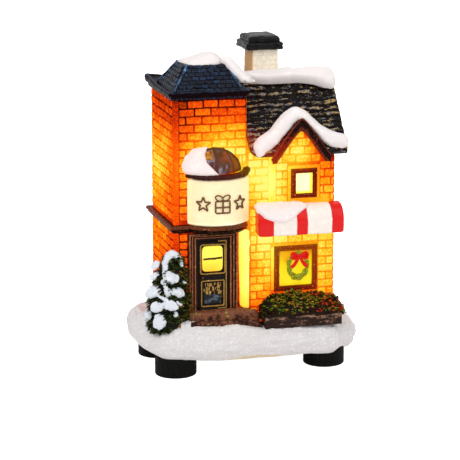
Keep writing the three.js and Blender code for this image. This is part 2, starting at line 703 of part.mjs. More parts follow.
// Everything under the roof's upper face, for cutting what rests on it.
const underRoof = (grow) => {
  const lift = grow * Math.hypot(1, ROOF_SLOPE);
  const run = ROOF_RUN + grow;
  const foot = RIDGE_Z - ROOF_SLOPE * run + lift;
  return prism(
    [[RIDGE_Y - run, 0], [RIDGE_Y + run, 0], [RIDGE_Y + run, foot],
      [RIDGE_Y, RIDGE_Z + lift], [RIDGE_Y - run, foot]],
    'x', roofEndLeft - grow, roofEndRight + grow,
  );
};
const gableGap = GAP * Math.hypot(1, GABLE_SLOPE);
piece('main_roof', cut(
  prism(roofOutline(0, ROOF_DROP), 'x', roofEndLeft, roofEndRight),
  gablePrism(GABLE_TOP + gableGap, FAR, GABLE_HALF_WIDTH + GAP, -FAR, HOUSE_FRONT + WALL + GAP),
), TILE);

// Gable roof and its two barge boards
const gableFront = HOUSE_FRONT - GABLE_REACH;
const gableShell = (top, drop, halfWidth, y0, y1) => cut(
  gablePrism(top, drop, halfWidth, y0, y1),
  gablePrism(top - drop, FAR, 2 * halfWidth, y0 - 1, y1 + 1),
);
piece('gable_roof', cut(
  gableShell(GABLE_TOP, GABLE_DROP, GABLE_HALF_WIDTH, gableFront, RIDGE_Y),
  cut(underRoof(GAP), box(ALL, [-FAR, HOUSE_FRONT + WALL + GAP], ALL)),
), TILE);
const bargeFront = gableFront - BARGE_DEPTH;
const barge = cut(
  gableShell(
    GABLE_TOP - BARGE_BELOW_ROOF, BARGE_HEIGHT, GABLE_HALF_WIDTH + BARGE_LAP, bargeFront, gableFront,
  ),
  box(ALL, ALL, [0, BARGE_FOOT_Z]),
);
for (const [side, sign] of [['left', -1], ['right', 1]]) {
  const half = box([GABLE_X, sign * FAR].sort((a, b) => a - b), ALL, ALL);
  piece(`barge_board_${side}`, barge.intersect(half), DARK_WOOD);
}

// Tower roof: a rim and a flat-topped hip, hollow underneath, notched where the main roof meets it
const rim = {
  x: [TOWER_LEFT - RIM_REACH, TOWER_RIGHT + RIM_REACH_RIGHT],
  y: [TOWER_FRONT - RIM_REACH, TOWER_BACK + RIM_REACH],
};
const plateau = {
  x: [rim.x[0] + RIM_STEP + PLATEAU_INSET_LEFT, rim.x[1] - RIM_STEP - PLATEAU_INSET_RIGHT],
  y: [rim.y[0] + RIM_STEP + PLATEAU_INSET_FRONT, rim.y[1] - RIM_STEP - PLATEAU_INSET_BACK],
};
const hipBlock = (grow) => join(
  box(grown(rim.x, grow), grown(rim.y, grow), [TOWER_TOP, RIM_TOP + grow]),
  frustum(
    [grown(rim.x, grow - RIM_STEP), grown(rim.y, grow - RIM_STEP)], RIM_TOP + grow,
    [grown(plateau.x, grow), grown(plateau.y, grow)], PLATEAU_Z + grow,
  ),
);
piece('tower_roof', cut(
  hipBlock(0),
  frustum(
    [grown([TOWER_LEFT, TOWER_RIGHT], -WALL), grown([TOWER_FRONT, TOWER_BACK], -WALL)], TOWER_TOP - 1,
    [grown(plateau.x, -WALL), grown(plateau.y, -WALL)], PLATEAU_Z - WALL,
  ),
  underRoof(GAP),
), SLATE);

// Chimney stack and its cap
const stackRect = (grow) => [
  [CHIMNEY_X - STACK_WIDTH / 2 - grow, CHIMNEY_X + STACK_WIDTH / 2 + grow],
  [CHIMNEY_Y - STACK_DEPTH / 2 - grow, CHIMNEY_Y + STACK_DEPTH / 2 + grow],
];
piece('chimney_stack', cut(
  frustum(stackRect(STACK_TAPER), EAVE_Z, stackRect(0), STACK_TOP),
  underRoof(GAP),
), CREAM);
const capSlab = STACK_TOP + CAP_HEIGHT * 0.6;
const capTop = STACK_TOP + CAP_HEIGHT;
piece('chimney_cap', join(
  frustum(stackRect(CAP_REACH), STACK_TOP, stackRect(CAP_REACH), capSlab),
  frustum(stackRect(CAP_REACH), capSlab, stackRect(CAP_REACH / 2), capTop),
  frustum(stackRect(-HOOD_INSET), capTop, stackRect(-HOOD_INSET - HOOD_SLOPE), capTop + HOOD_HEIGHT),
), BLACK_PLASTIC);

// Bay: curved sign board, rim and half dome
piece('bay_sign', cut(
  bayDisc(BAY_RADIUS, CORNICE_TOP, SIGN_TOP),
  bayDisc(BAY_RADIUS - BAY_WALL, CORNICE_TOP - 1, SIGN_TOP + 1),
  behindTowerFront,
), GLOW);
piece('dome_rim', cut(
  bayDisc(BAY_RADIUS + BAY_RIM_REACH, SIGN_TOP, DOME_BOTTOM),
  bayDisc(BAY_RADIUS - BAY_WALL, SIGN_TOP - 1, DOME_BOTTOM + 1),
  behindTowerFront,
), DARK_WOOD);
const domeSolid = (grow) => ellipsoid(
  [BAY_X, BAY_Y, DOME_BOTTOM],
  [BAY_RADIUS - DOME_INSET + grow, BAY_RADIUS - DOME_INSET + grow, DOME_HEIGHT + grow], 14, 40,
);
const belowDome = box(ALL, ALL, [0, DOME_BOTTOM]);
piece('bay_dome', cut(domeSolid(0), domeSolid(-BAY_WALL), belowDome, behindTowerFront), SLATE);

// Door: frame, leaf, glass and knob
piece('door_frame', cut(
  box(grown(door.x, DOOR_FRAME_WIDTH), [TOWER_FRONT - DOOR_FRAME_DEPTH, TOWER_FRONT],
    [DOOR_SILL, door.z[1] + DOOR_FRAME_HEADER]),
  box(grown(door.x, -FRAME_LAP), [TOWER_FRONT - DOOR_FRAME_DEPTH - 1, TOWER_FRONT + 1],
    [DOOR_SILL - 1, door.z[1] - FRAME_LAP]),
), DARK_WOOD);
const doorGlass = {
  x: [DOOR_X - DOOR_GLASS_WIDTH / 2, DOOR_X + DOOR_GLASS_WIDTH / 2],
  z: [DOOR_SILL + DOOR_GLASS_ABOVE_SILL, DOOR_SILL + DOOR_GLASS_ABOVE_SILL + DOOR_GLASS_HEIGHT],
};
const doorPanelBottom = DOOR_SILL + DOOR_PANEL_ABOVE_SILL;
const leafFront = TOWER_FRONT + GAP / 3;
piece('door_leaf', cut(
  box(door.x, [leafFront, leafFront + DOOR_THICKNESS], door.z),
  box(doorGlass.x, [leafFront - 1, leafFront + DOOR_THICKNESS + 1], doorGlass.z),
  box(doorGlass.x, [leafFront - 1, leafFront + PANEL_RECESS],
    [doorPanelBottom, doorPanelBottom + DOOR_PANEL_HEIGHT]),
), DARK_WOOD);
piece('door_glass', box(
  grown(doorGlass.x, -GAP), [leafFront + GAP, leafFront + GAP + PANE_THICKNESS], grown(doorGlass.z, -GAP),
), GLOW);
piece('door_knob', bar(
  'y', [door.x[0] + FRAME_LAP + 2 * KNOB_RADIUS, leafFront - 2 * KNOB_RADIUS, DOOR_SILL + KNOB_ABOVE_SILL],
  KNOB_RADIUS, 2 * KNOB_RADIUS, 12,
), [0xc9a24a, 0.35, 1]);

// Doorstep in two treads
piece('door_step', cut(
  join(
    box([STEP_LEFT, STEP_RIGHT], [STEP_FRONT, TOWER_FRONT], [BASE_TOP, LOWER_STEP_TOP]),
    box([STEP_LEFT + STEP_TREAD, HOUSE_LEFT - GAP], [STEP_FRONT + STEP_TREAD, TOWER_FRONT],
      [LOWER_STEP_TOP, DOOR_SILL]),
  ),
  wallFootprint(GAP, 0, TOWER_TOP),
), [0x6b352b, 0.75]);

// Windows: frame on the wall's face, pane in the hole behind it
for (const [name, w] of [['upper', UPPER_WINDOW], ['lower', LOWER_WINDOW]]) {
  const outer = windowOutline(w);
  piece(`${name}_window_frame`, cut(
    box(outer.x, [HOUSE_FRONT - FRAME_DEPTH, HOUSE_FRONT], outer.z),
    box(grown(outer.x, -w.bar), [HOUSE_FRONT - FRAME_DEPTH - 1, HOUSE_FRONT + 1], grown(outer.z, -w.bar)),
  ), DARK_WOOD);
  const inset = -FRAME_LAP - GAP;
  piece(`${name}_window_pane`, box(
    grown(outer.x, inset), [HOUSE_FRONT + GAP, HOUSE_FRONT + GAP + PANE_THICKNESS], grown(outer.z, inset),
  ), GLOW);
}

// Wreath on the lower pane, with its bow
const wreathX = LOWER_WINDOW.x + WREATH_FROM_MIDDLE;
const wreathY = HOUSE_FRONT - WREATH_TUBE;
const wreathZ = BASE_TOP + LOWER_WINDOW.aboveBase;
const wreath = new THREE.TorusGeometry(WREATH_RADIUS, WREATH_TUBE, 8, 28);
wreath.rotateX(Math.PI / 2).translate(wreathX, wreathY, wreathZ);
piece('wreath', solidOf(wreath), [0x2f7a35, 0.7]);
const bowRightHalf = [
  [0, -2 * BOW_KNOT],
  [BOW_TAIL_SPREAD - BOW_TAIL_WIDTH, BOW_KNOT - BOW_TAIL],
  [BOW_TAIL_SPREAD, -BOW_TAIL],
  [BOW_KNOT, -BOW_KNOT],
  [BOW_WIDTH / 2, -BOW_LOOP],
  [BOW_WIDTH / 2, BOW_LOOP],
  [BOW_KNOT, BOW_KNOT],
];
const bowLeftHalf = bowRightHalf.slice(1).reverse().map(([x, z]) => [-x, z]);
const bowOutline = [...bowRightHalf, ...bowLeftHalf]
  .map(([x, z]) => [wreathX + x, wreathZ + WREATH_RADIUS + z]);
const bowBack = wreathY - WREATH_TUBE - GAP;
piece('wreath_bow', prism(bowOutline, 'y', bowBack - BOW_THICKNESS, bowBack), [0xc01822, 0.5]);

// Awning: a convex top that ends in an upright valance
const AWNING_STEPS = 6;
const awningBottom = AWNING_TOP - AWNING_HEIGHT;
const awningOutline = (grow) => {
  const bend = Array.from({ length: AWNING_STEPS + 1 }, (_, i) => {
    const a = (i / AWNING_STEPS) * Math.PI / 2;
    return [
      HOUSE_FRONT - (AWNING_REACH + grow) * Math.sin(a),
      AWNING_TOP + grow - (AWNING_HEIGHT - VALANCE_HEIGHT + grow) * (1 - Math.cos(a)),
    ];
  });
  return [
    ...bend,
    [HOUSE_FRONT - AWNING_REACH - grow, awningBottom - grow],
    [HOUSE_FRONT - AWNING_REACH + VALANCE_DEPTH, awningBottom - grow],
    [HOUSE_FRONT - AWNING_HEEL, awningBottom + VALANCE_HEIGHT - grow],
    [HOUSE_FRONT, awningBottom + VALANCE_HEIGHT - grow],
  ];
};
piece('awning', prism(awningOutline(0), 'x', AWNING_LEFT, AWNING_RIGHT), [0xf2ece4, 0.5]);

// Planter box and the row of shrubs in it
const planter = {
  x: [PLANTER_LEFT, PLANTER_RIGHT],
  y: [HOUSE_FRONT - GAP - PLANTER_DEPTH, HOUSE_FRONT - GAP],
  z: [BASE_TOP, BASE_TOP + PLANTER_HEIGHT],
};
piece('planter_box', box(planter.x, planter.y, planter.z), [0x4a3630, 0.7]);
const shrubPitch = (PLANTER_RIGHT - PLANTER_LEFT) / SHRUB_COUNT;
const shrubMiddleY = planter.y[1] - PLANTER_DEPTH * 0.42;
const shrubBall = (i) => ellipsoid(
  [PLANTER_LEFT + shrubPitch * (i + 0.5), shrubMiddleY, planter.z[1] + SHRUB_ROOT],
  [(shrubPitch * SHRUB_OVERLAP) / 2, PLANTER_DEPTH * 0.56, SHRUB_HEIGHT * (1 - 0.08 * Math.abs(i - 2))],
  7, 12,
);
piece('shrubs', cut(
  join(...Array.from({ length: SHRUB_COUNT }, (_, i) => shrubBall(i))),
  box(ALL, ALL, [0, planter.z[1]]),
  box(ALL, [planter.y[1], FAR], ALL),
), [0x2f4420, 0.85]);

// Fir tree in tiers, with a cap of snow
const TREE_RINGS = TREE_TIERS * 2 + 2;
const treeRadiusAt = (i) => {
  const up = i / (TREE_RINGS - 1);
  const tier = i % 2 === 0 ? 1.08 : 0.86;
  return Math.max(0.12, (1 - up) ** 0.75 * tier) * smooth(0.6 + up * 2);
};
const treePoint = (grow, bottom) => (i, turn) => {
  const angle = turn * 2 * Math.PI;
  const lobe = 1 + 0.09 * Math.cos(6 * angle + i);
  const r = treeRadiusAt(i) * lobe;
  return [
    TREE_X + (TREE_RADIUS_X * r + grow) * Math.cos(angle),
    TREE_Y + (TREE_RADIUS_Y * r + grow) * Math.sin(angle),
    bottom + (TREE_HEIGHT * i) / (TREE_RINGS - 1) + grow,
  ];
};
const treeBody = (grow) => skin(TREE_RINGS, 18, treePoint(grow, BASE_TOP));
piece('fir_tree', cut(treeBody(0), wallFootprint(GAP, 0, TOWER_TOP)), [0x26401f, 0.85]);
const capBottom = BASE_TOP + TREE_HEIGHT - TREE_CAP_HEIGHT;
piece('fir_tree_snow', cut(
  treeBody(GAP + TREE_CAP_THICKNESS),
  treeBody(GAP),
  wallFootprint(GAP, 0, TOWER_TOP),
  box(ALL, ALL, [0, capBottom]),
), SNOW);

// Snow on the main ridge: a blanket carried along X whose ends round off
const SNOW_STATIONS = 13;
const SNOW_SIDES = 16;
const ridgeSnowEnds = [RIDGE_SNOW_LEFT, roofEndRight + RIDGE_SNOW_PAST_VERGE];
const ridgeSnow = skin(SNOW_STATIONS, SNOW_SIDES, (i, turn) => {
  const along = 1 - (1 - i / (SNOW_STATIONS - 1)) ** 2;
  const end = Math.max(0, (along - 1 + RIDGE_SNOW_ROUND) / RIDGE_SNOW_ROUND);
  const full = Math.sqrt(Math.max(0.32, 1 - end ** 2));
  const angle = turn * 2 * Math.PI;
  const wave = 1 + 0.1 * Math.cos(5 * along * Math.PI + 1);
  const reach = Math.cos(angle) > 0 ? RIDGE_SNOW_BACK : RIDGE_SNOW_FRONT * wave;
  const drop = ROOF_SLOPE * Math.abs(reach * Math.cos(angle));
  return [
    ridgeSnowEnds[0] + along * (ridgeSnowEnds[1] - ridgeSnowEnds[0]),
    RIDGE_Y + reach * full * Math.cos(angle),
    RIDGE_Z - RIDGE_SNOW_SUNK - drop * 0.75
      + (RIDGE_SNOW + RIDGE_SNOW_SUNK) * full * Math.max(Math.sin(angle), -0.7),
  ];
});
const chimneyHole = frustum(stackRect(STACK_TAPER + GAP), 0, stackRect(STACK_TAPER + GAP), STACK_TOP);
piece('ridge_snow', cut(ridgeSnow, underRoof(GAP), chimneyHole, hipBlock(GAP)), SNOW);

// Snow over the gable: a band that follows its two slopes and runs out along the eave
const GABLE_SNOW_STATIONS = 15;
const gableSnowEnds = [roofEndLeft + 2 * GAP, roofEndRight + GABLE_SNOW_PAST_ROOF];
const gableSnowLine = (along) => {
  const x = gableSnowEnds[0] + along * (gableSnowEnds[1] - gableSnowEnds[0]);
  const fromRidge = Math.max(0, Math.abs(x - GABLE_X) - 1);
  const onGable = GABLE_TOP + 2 * GAP - fromRidge * GABLE_SLOPE * GABLE_SNOW_SLOPE;
  return [x, Math.max(onGable, EAVE_Z + GABLE_SNOW / 4)];
};
const gableSnow = skin(GABLE_SNOW_STATIONS, 10, (i, turn) => {
  const along = i / (GABLE_SNOW_STATIONS - 1);
  const [x, z] = gableSnowLine(along);
  const full = Math.sqrt(Math.max(0.1, 1 - Math.abs(2 * along - 1) ** 8));
  const angle = turn * 2 * Math.PI;
  return [
    x,
    gableFront - GABLE_SNOW_PAST_ROOF + (GABLE_SNOW_DEPTH / 2) * (1 + full * Math.cos(angle)),
    z + GABLE_SNOW / 4 + GABLE_SNOW * full * Math.sin(angle),
  ];
});
const gableEnvelope = gablePrism(
  GABLE_TOP + gableGap, FAR, GABLE_HALF_WIDTH + BARGE_LAP + GAP, bargeFront - GAP, RIDGE_Y,
);
piece('gable_snow', cut(gableSnow, underRoof(GAP), gableEnvelope), SNOW);

// Snow on the tower roof's flat top
const plateauMiddle = [plateau.x, plateau.y].map(([low, high]) => (low + high) / 2 + PLATEAU_SNOW_SHIFT);
const plateauHalf = [plateau.x, plateau.y].map(([low, high]) => (high - low) / 2 + PLATEAU_SNOW_LAP);
piece('tower_roof_snow', cut(
  ellipsoid([...plateauMiddle, PLATEAU_Z - 2 * GAP], [...plateauHalf, PLATEAU_SNOW + 2 * GAP], 8, 20),
  hipBlock(GAP),
  box(ALL, ALL, [0, PLATEAU_Z - PLATEAU_SNOW]),
), SNOW);

// Snow on the left of the dome
const domeSnow = ellipsoid(
  [BAY_X - DOME_SNOW_SHIFT, BAY_Y, DOME_BOTTOM],
  [BAY_RADIUS - DOME_INSET, BAY_RADIUS - DOME_INSET + DOME_SNOW, DOME_HEIGHT + DOME_SNOW], 14, 32,
);
piece('dome_snow', cut(
  domeSnow,
  domeSolid(GAP),
  box(ALL, ALL, [0, DOME_BOTTOM + GAP]),
  box(ALL, [TOWER_FRONT - GAP, FAR], ALL),
  box([BAY_X - DOME_SNOW_EDGE, FAR], ALL, ALL),
), SNOW);

// Snow on the left of the awning, and on the ledge behind it
const awningSnowMiddle = [
  AWNING_LEFT + AWNING_SNOW_LENGTH / 2,
  HOUSE_FRONT - AWNING_REACH * 0.35,
  AWNING_TOP - AWNING_SNOW_SUNK,
];
piece('awning_snow', cut(
  ellipsoid(
    awningSnowMiddle,
    [AWNING_SNOW_LENGTH / 2, AWNING_REACH * 0.72 + AWNING_SNOW, AWNING_SNOW_SUNK + AWNING_SNOW], 8, 20,
  ),
  prism(awningOutline(GAP), 'x', AWNING_LEFT - GAP, AWNING_RIGHT + GAP),
  box(ALL, [HOUSE_FRONT - GAP, FAR], [0, LEDGE_Z + GAP]),
  box([RECESS_RIGHT - GAP, FAR], [HOUSE_FRONT - GAP, FAR], ALL),
  box(ALL, [RECESS_FRONT - GAP, FAR], ALL),
  box(ALL, ALL, [0, AWNING_TOP - AWNING_SNOW_DROP]),
), SNOW);

// Battery housing: flange under the base, trough for the cells, switch pocket and board pegs
const tongueHalf = LID_WIDTH / 2 + TONGUE_REACH;
const lidSlot = join(
  box([HOUSING_X - LID_WIDTH / 2 - RUNNING_GAP, HOUSING_X + LID_WIDTH / 2 + RUNNING_GAP],
    [LID_FRONT - RUNNING_GAP, FLANGE_BACK + 1], [FLANGE_BOTTOM - 1, LID_TOP + RUNNING_GAP]),
  box([HOUSING_X - tongueHalf - RUNNING_GAP, HOUSING_X + tongueHalf + RUNNING_GAP],
    [LID_FRONT - RUNNING_GAP, FLANGE_BACK + 1],
    [FLANGE_BOTTOM + LID_PLATE - RUNNING_GAP, LID_TOP + RUNNING_GAP]),
);
const cellRoom = box(
  [HOUSING_X - TROUGH_HALF, HOUSING_X + TROUGH_HALF], [TROUGH_FRONT, TROUGH_BACK],
  [LID_TOP, TROUGH_TOP - TROUGH_WALL],
);
const tabSlots = [TROUGH_FRONT, TROUGH_BACK - CONTACT_THICKNESS - GAP].map((y) => box(
  [HOUSING_X - TAB_WIDTH / 2 - GAP, HOUSING_X + TAB_WIDTH / 2 + GAP],
  [y, y + CONTACT_THICKNESS + GAP], [CELL_Z, TROUGH_TOP + 1],
));
const knobSlotX = grown([SWITCH_X - KNOB_SIZE / 2, SWITCH_X + KNOB_SIZE / 2], RUNNING_GAP);
const knobSlotHalf = KNOB_SIZE / 2 + SWITCH_TRAVEL / 2 + RUNNING_GAP;
const pegX = BOARD_X - BOARD_WIDTH / 2 + 2;
const pegPlaces = [-PEG_Y, PEG_Y].map((y) => [pegX, y]);
const headDepth = SCREW_HEAD_HEIGHT + GAP;
const counterbore = ([x, y]) => join(
  bar('z', [x, y, FLANGE_BOTTOM - 1], SCREW_HEAD_RADIUS + GAP, headDepth + 1, 20),
  bar('z', [x, y, FLANGE_BOTTOM - 1], SCREW_RADIUS + GAP, FLANGE_THICKNESS + 2, 12),
);
piece('battery_housing', join(
  cut(
    join(
      prism(flangeOutline(0), 'z', FLANGE_BOTTOM, FLANGE_TOP),
      box(trough.x, trough.y, [FLANGE_TOP, TROUGH_TOP]),
      box(pocketWall.x, pocketWall.y, [FLANGE_TOP, FLANGE_TOP + SWITCH_HEIGHT]),
    ),
    lidSlot,
    cellRoom,
    ...tabSlots,
    box(switchPocket.x, switchPocket.y, [FLANGE_TOP, FLANGE_TOP + SWITCH_HEIGHT + 1]),
    box(knobSlotX, [SWITCH_Y - knobSlotHalf, SWITCH_Y + knobSlotHalf], [0, FLANGE_TOP + 1]),
    ...SCREW_PLACES.map(counterbore),
  ),
  ...pegPlaces.map((p) => bar('z', [...p, TROUGH_TOP - 0.5], PEG_RADIUS, PEG_HEIGHT + 0.5, 12)),
  ...pegPlaces.map((p) => bar('z', [...p, BOARD_BOTTOM - 0.5], PEG_PIN_RADIUS, BOARD_THICKNESS + 1, 10)),
), BLACK_PLASTIC);

// Sliding lid with side tongues and thumb ribs
const lidBack = FLANGE_BACK - GAP;
const ribPitch = 2;
piece('battery_lid', join(
  box([HOUSING_X - LID_WIDTH / 2, HOUSING_X + LID_WIDTH / 2], [LID_FRONT, lidBack],
    [FLANGE_BOTTOM, LID_TOP]),
  box([HOUSING_X - tongueHalf, HOUSING_X + tongueHalf], [LID_FRONT, lidBack],
    [FLANGE_BOTTOM + LID_PLATE, LID_TOP]),
  ...Array.from({ length: LID_RIBS }, (_, i) => box(
    [HOUSING_X - LID_WIDTH / 4, HOUSING_X + LID_WIDTH / 4],
    [lidBack - 3 - i * ribPitch, lidBack - 2 - i * ribPitch], [FLANGE_BOTTOM - LID_RIB, LID_TOP],
  )),
), BLACK_PLASTIC);

// Button cells, each a can with a smaller raised pole
for (let i = 0; i < CELL_COUNT; i++) {
  const y = FIRST_CELL + i * CELL_PITCH;
  const pole = bar('y', [HOUSING_X, y, CELL_Z], CELL_RADIUS - 1.2, CELL_STEP + 0.5, 32);
  const can = bar('y', [HOUSING_X, y + CELL_STEP, CELL_Z], CELL_RADIUS, CELL_HEIGHT - CELL_STEP, 32);
  piece(`button_cell_${i + 1}`, join(pole, can), STEEL);
}

// Contact plates with solder tabs, and the coil that presses on the first cell
const plateAt = (y) => join(
  box([HOUSING_X - CONTACT_SIZE / 2, HOUSING_X + CONTACT_SIZE / 2], [y, y + CONTACT_THICKNESS],
    [CELL_Z - CONTACT_SIZE / 2, CELL_Z + CONTACT_SIZE / 2]),
  box([HOUSING_X - TAB_WIDTH / 2, HOUSING_X + TAB_WIDTH / 2], [y, y + CONTACT_THICKNESS],
    [CELL_Z, TROUGH_TOP + TAB_RISE]),
);
const COIL_TURNS = 2.5;
const COIL_WIRE = 0.25;
class Coil extends THREE.Curve {
  getPoint(t, target = new THREE.Vector3()) {
    const angle = t * COIL_TURNS * 2 * Math.PI;
    const radius = 3.4 - 1.6 * t;
    const from = TROUGH_FRONT + CONTACT_THICKNESS / 2;
    const to = FIRST_CELL - CELL_STEP - COIL_WIRE;
    return target.set(
      HOUSING_X + radius * Math.cos(angle), from + (to - from) * t, CELL_Z + radius * Math.sin(angle),
    );
  }
}
// A closed tube of a few sides along a curve.
function tube(curve, radius, sides, steps) {
  const shape = new THREE.Shape();
  shape.absarc(0, 0, radius, 0, 2 * Math.PI, false);
  return solidOf(new THREE.ExtrudeGeometry(shape, { steps, curveSegments: sides, extrudePath: curve }));
}
piece('spring_contact', join(plateAt(TROUGH_FRONT + GAP / 6), tube(new Coil(), COIL_WIRE, 6, 30)), STEEL);
piece('flat_contact', plateAt(TROUGH_BACK - CONTACT_THICKNESS - GAP / 6), STEEL);

// Slide switch: metal can and the slider whose knob comes out under the flange
const slider = { x: grown(knobSlotX, 0.3), y: SWITCH_Y + SWITCH_TRAVEL / 2 };
piece('switch_can', cut(
  box(grown(switchPocket.x, -GAP), grown(switchPocket.y, -GAP), [FLANGE_TOP, FLANGE_TOP + SWITCH_HEIGHT]),
  box(grown(switchPocket.x, -GAP - SWITCH_CAN), grown(switchPocket.y, -GAP - SWITCH_CAN),
    [FLANGE_TOP - 1, FLANGE_TOP + SLIDER_HEIGHT + 3 * RUNNING_GAP]),
), STEEL);
piece('switch_knob', join(
  box([slider.x[0] + RUNNING_GAP, slider.x[1] - RUNNING_GAP],
    [slider.y - SLIDER_LENGTH / 2, slider.y + SLIDER_LENGTH / 2],
    [FLANGE_TOP + RUNNING_GAP, FLANGE_TOP + RUNNING_GAP + SLIDER_HEIGHT]),
  box([SWITCH_X - KNOB_SIZE / 2, SWITCH_X + KNOB_SIZE / 2],
    [slider.y - KNOB_SIZE / 2, slider.y + KNOB_SIZE / 2],
    [FLANGE_BOTTOM - KNOB_DROP, FLANGE_TOP + RUNNING_GAP + SLIDER_HEIGHT]),
), [0xe8e8e6, 0.4]);

// Screws that hold the housing to the base
SCREW_PLACES.forEach(([x, y], i) => {
  const head = bar('z', [x, y, FLANGE_BOTTOM], SCREW_HEAD_RADIUS, SCREW_HEAD_HEIGHT, 20);
  const shank = bar('z', [x, y, FLANGE_BOTTOM], SCREW_RADIUS, SCREW_HEAD_HEIGHT + SCREW_LENGTH, 12);
  const slot = (along, across) => box(
    [x - along, x + along], [y - across, y + across], [FLANGE_BOTTOM - 1, FLANGE_BOTTOM + 0.5],
  );
  piece(`housing_screw_${i + 1}`, cut(join(head, shank), slot(1, 0.2), slot(0.2, 1)), STEEL);
});

// Circuit board, LED on its two leads, and the series resistor
const leadPlaces = [-LEAD_PITCH / 2, LEAD_PITCH / 2].map((dx) => [LED_X + dx, 0]);
const resistorPlaces = [-RESISTOR_PITCH / 2, RESISTOR_PITCH / 2].map((dy) => [RESISTOR_X, dy]);
const holeAt = ([x, y], radius) => bar('z', [x, y, BOARD_BOTTOM - 1], radius, BOARD_THICKNESS + 2, 10);
piece('circuit_board', cut(
  box([BOARD_X - BOARD_WIDTH / 2, BOARD_X + BOARD_WIDTH / 2], [-BOARD_DEPTH / 2, BOARD_DEPTH / 2],
    [BOARD_BOTTOM, BOARD_TOP]),
  ...pegPlaces.map((p) => holeAt(p, PEG_PIN_RADIUS + GAP)),
  ...leadPlaces.map((p) => holeAt(p, LEAD_SIZE * 0.71 + GAP)),
  ...resistorPlaces.map((p) => holeAt(p, LEAD_SIZE / 2 + GAP)),
), [0x2c6b3a, 0.5]);
const ledBottom = BOARD_TOP + LED_STANDOFF;
piece('led_lens', join(
  bar('z', [LED_X, 0, ledBottom], LED_FLANGE_RADIUS, LED_FLANGE, 24),
  bar('z', [LED_X, 0, ledBottom], LED_RADIUS, LED_FLANGE + LED_BARREL, 24),
  ellipsoid([LED_X, 0, ledBottom + LED_FLANGE + LED_BARREL], [LED_RADIUS, LED_RADIUS, LED_RADIUS], 10, 24),
), [0xfff2c0, 0.15]);
leadPlaces.forEach(([x], i) => {
  piece(`led_lead_${i + 1}`, box(
    [x - LEAD_SIZE / 2, x + LEAD_SIZE / 2], [-LEAD_SIZE / 2, LEAD_SIZE / 2],
    [BOARD_BOTTOM - LEAD_TAIL, ledBottom],
  ), STEEL);
});
const resistorZ = BOARD_TOP + RESISTOR_RADIUS + GAP;
piece('resistor', join(
  bar('y', [RESISTOR_X, -RESISTOR_LENGTH / 2, resistorZ], RESISTOR_RADIUS, RESISTOR_LENGTH, 16),
  bar('y', [RESISTOR_X, -RESISTOR_PITCH / 2 - LEAD_SIZE / 2, resistorZ], LEAD_SIZE / 2,
    RESISTOR_PITCH + LEAD_SIZE, 8),
  ...resistorPlaces.map((p) => bar('z', [...p, BOARD_BOTTOM - LEAD_TAIL], LEAD_SIZE / 2,
    resistorZ - BOARD_BOTTOM + LEAD_TAIL, 8)),
), [0xc9b184, 0.6]);

// Wires, each from face to face with a clearance
function wire(name, points, color) {
  const curve = new THREE.CatmullRomCurve3(points.map((p) => new THREE.Vector3(...p)));
  piece(name, tube(curve, WIRE_RADIUS, 8, 18), [color, 0.5]);
}
const tabTop = TROUGH_TOP + TAB_RISE + GAP;
const wireTop = BOARD_TOP + GAP;
const boardBack = BOARD_DEPTH / 2 - 1.5;
const switchTop = FLANGE_TOP + SWITCH_HEIGHT + GAP;
wire('wire_red', [
  [HOUSING_X, TROUGH_BACK - 0.3, tabTop], [HOUSING_X, TROUGH_BACK - 0.5, tabTop + 1.6],
  [HOUSING_X - 0.3, 8, tabTop + 3], [HOUSING_X, boardBack + 0.2, tabTop + 2.2],
  [HOUSING_X, boardBack, wireTop],
], 0xb3202a);
wire('wire_black', [
  [HOUSING_X, TROUGH_FRONT + 0.3, tabTop], [HOUSING_X + 0.2, TROUGH_FRONT + 0.1, tabTop + 1.4],
  [trough.x[1] - 3, TROUGH_FRONT + 0.6, tabTop + 1.6], [trough.x[1] + 1.8, TROUGH_FRONT + 2.6, TROUGH_TOP],
  [trough.x[1] + 3.4, SWITCH_Y - 7, TROUGH_TOP - 3.5], [SWITCH_X - 0.6, SWITCH_Y - 3.4, switchTop + 4],
  [SWITCH_X, SWITCH_Y - 2.6, switchTop + 1], [SWITCH_X, SWITCH_Y - 2.6, switchTop],
], 0x111111);
wire('wire_white', [
  [SWITCH_X, SWITCH_Y + 2.6, switchTop], [SWITCH_X, SWITCH_Y + 2.8, switchTop + 4],
  [SWITCH_X - 2, SWITCH_Y + 3, TROUGH_TOP + 2], [SWITCH_X - 6, SWITCH_Y + 1, BOARD_TOP + 2.6],
  [1.4, boardBack + 0.3, BOARD_TOP + 2], [1.2, boardBack, wireTop],
], 0xdddddd);

export default group;
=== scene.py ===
# A small light-up Christmas shop in painted translucent resin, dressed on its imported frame.
# Shapes are worked out in millimetres with numpy, and go into the scene in metres.
import math

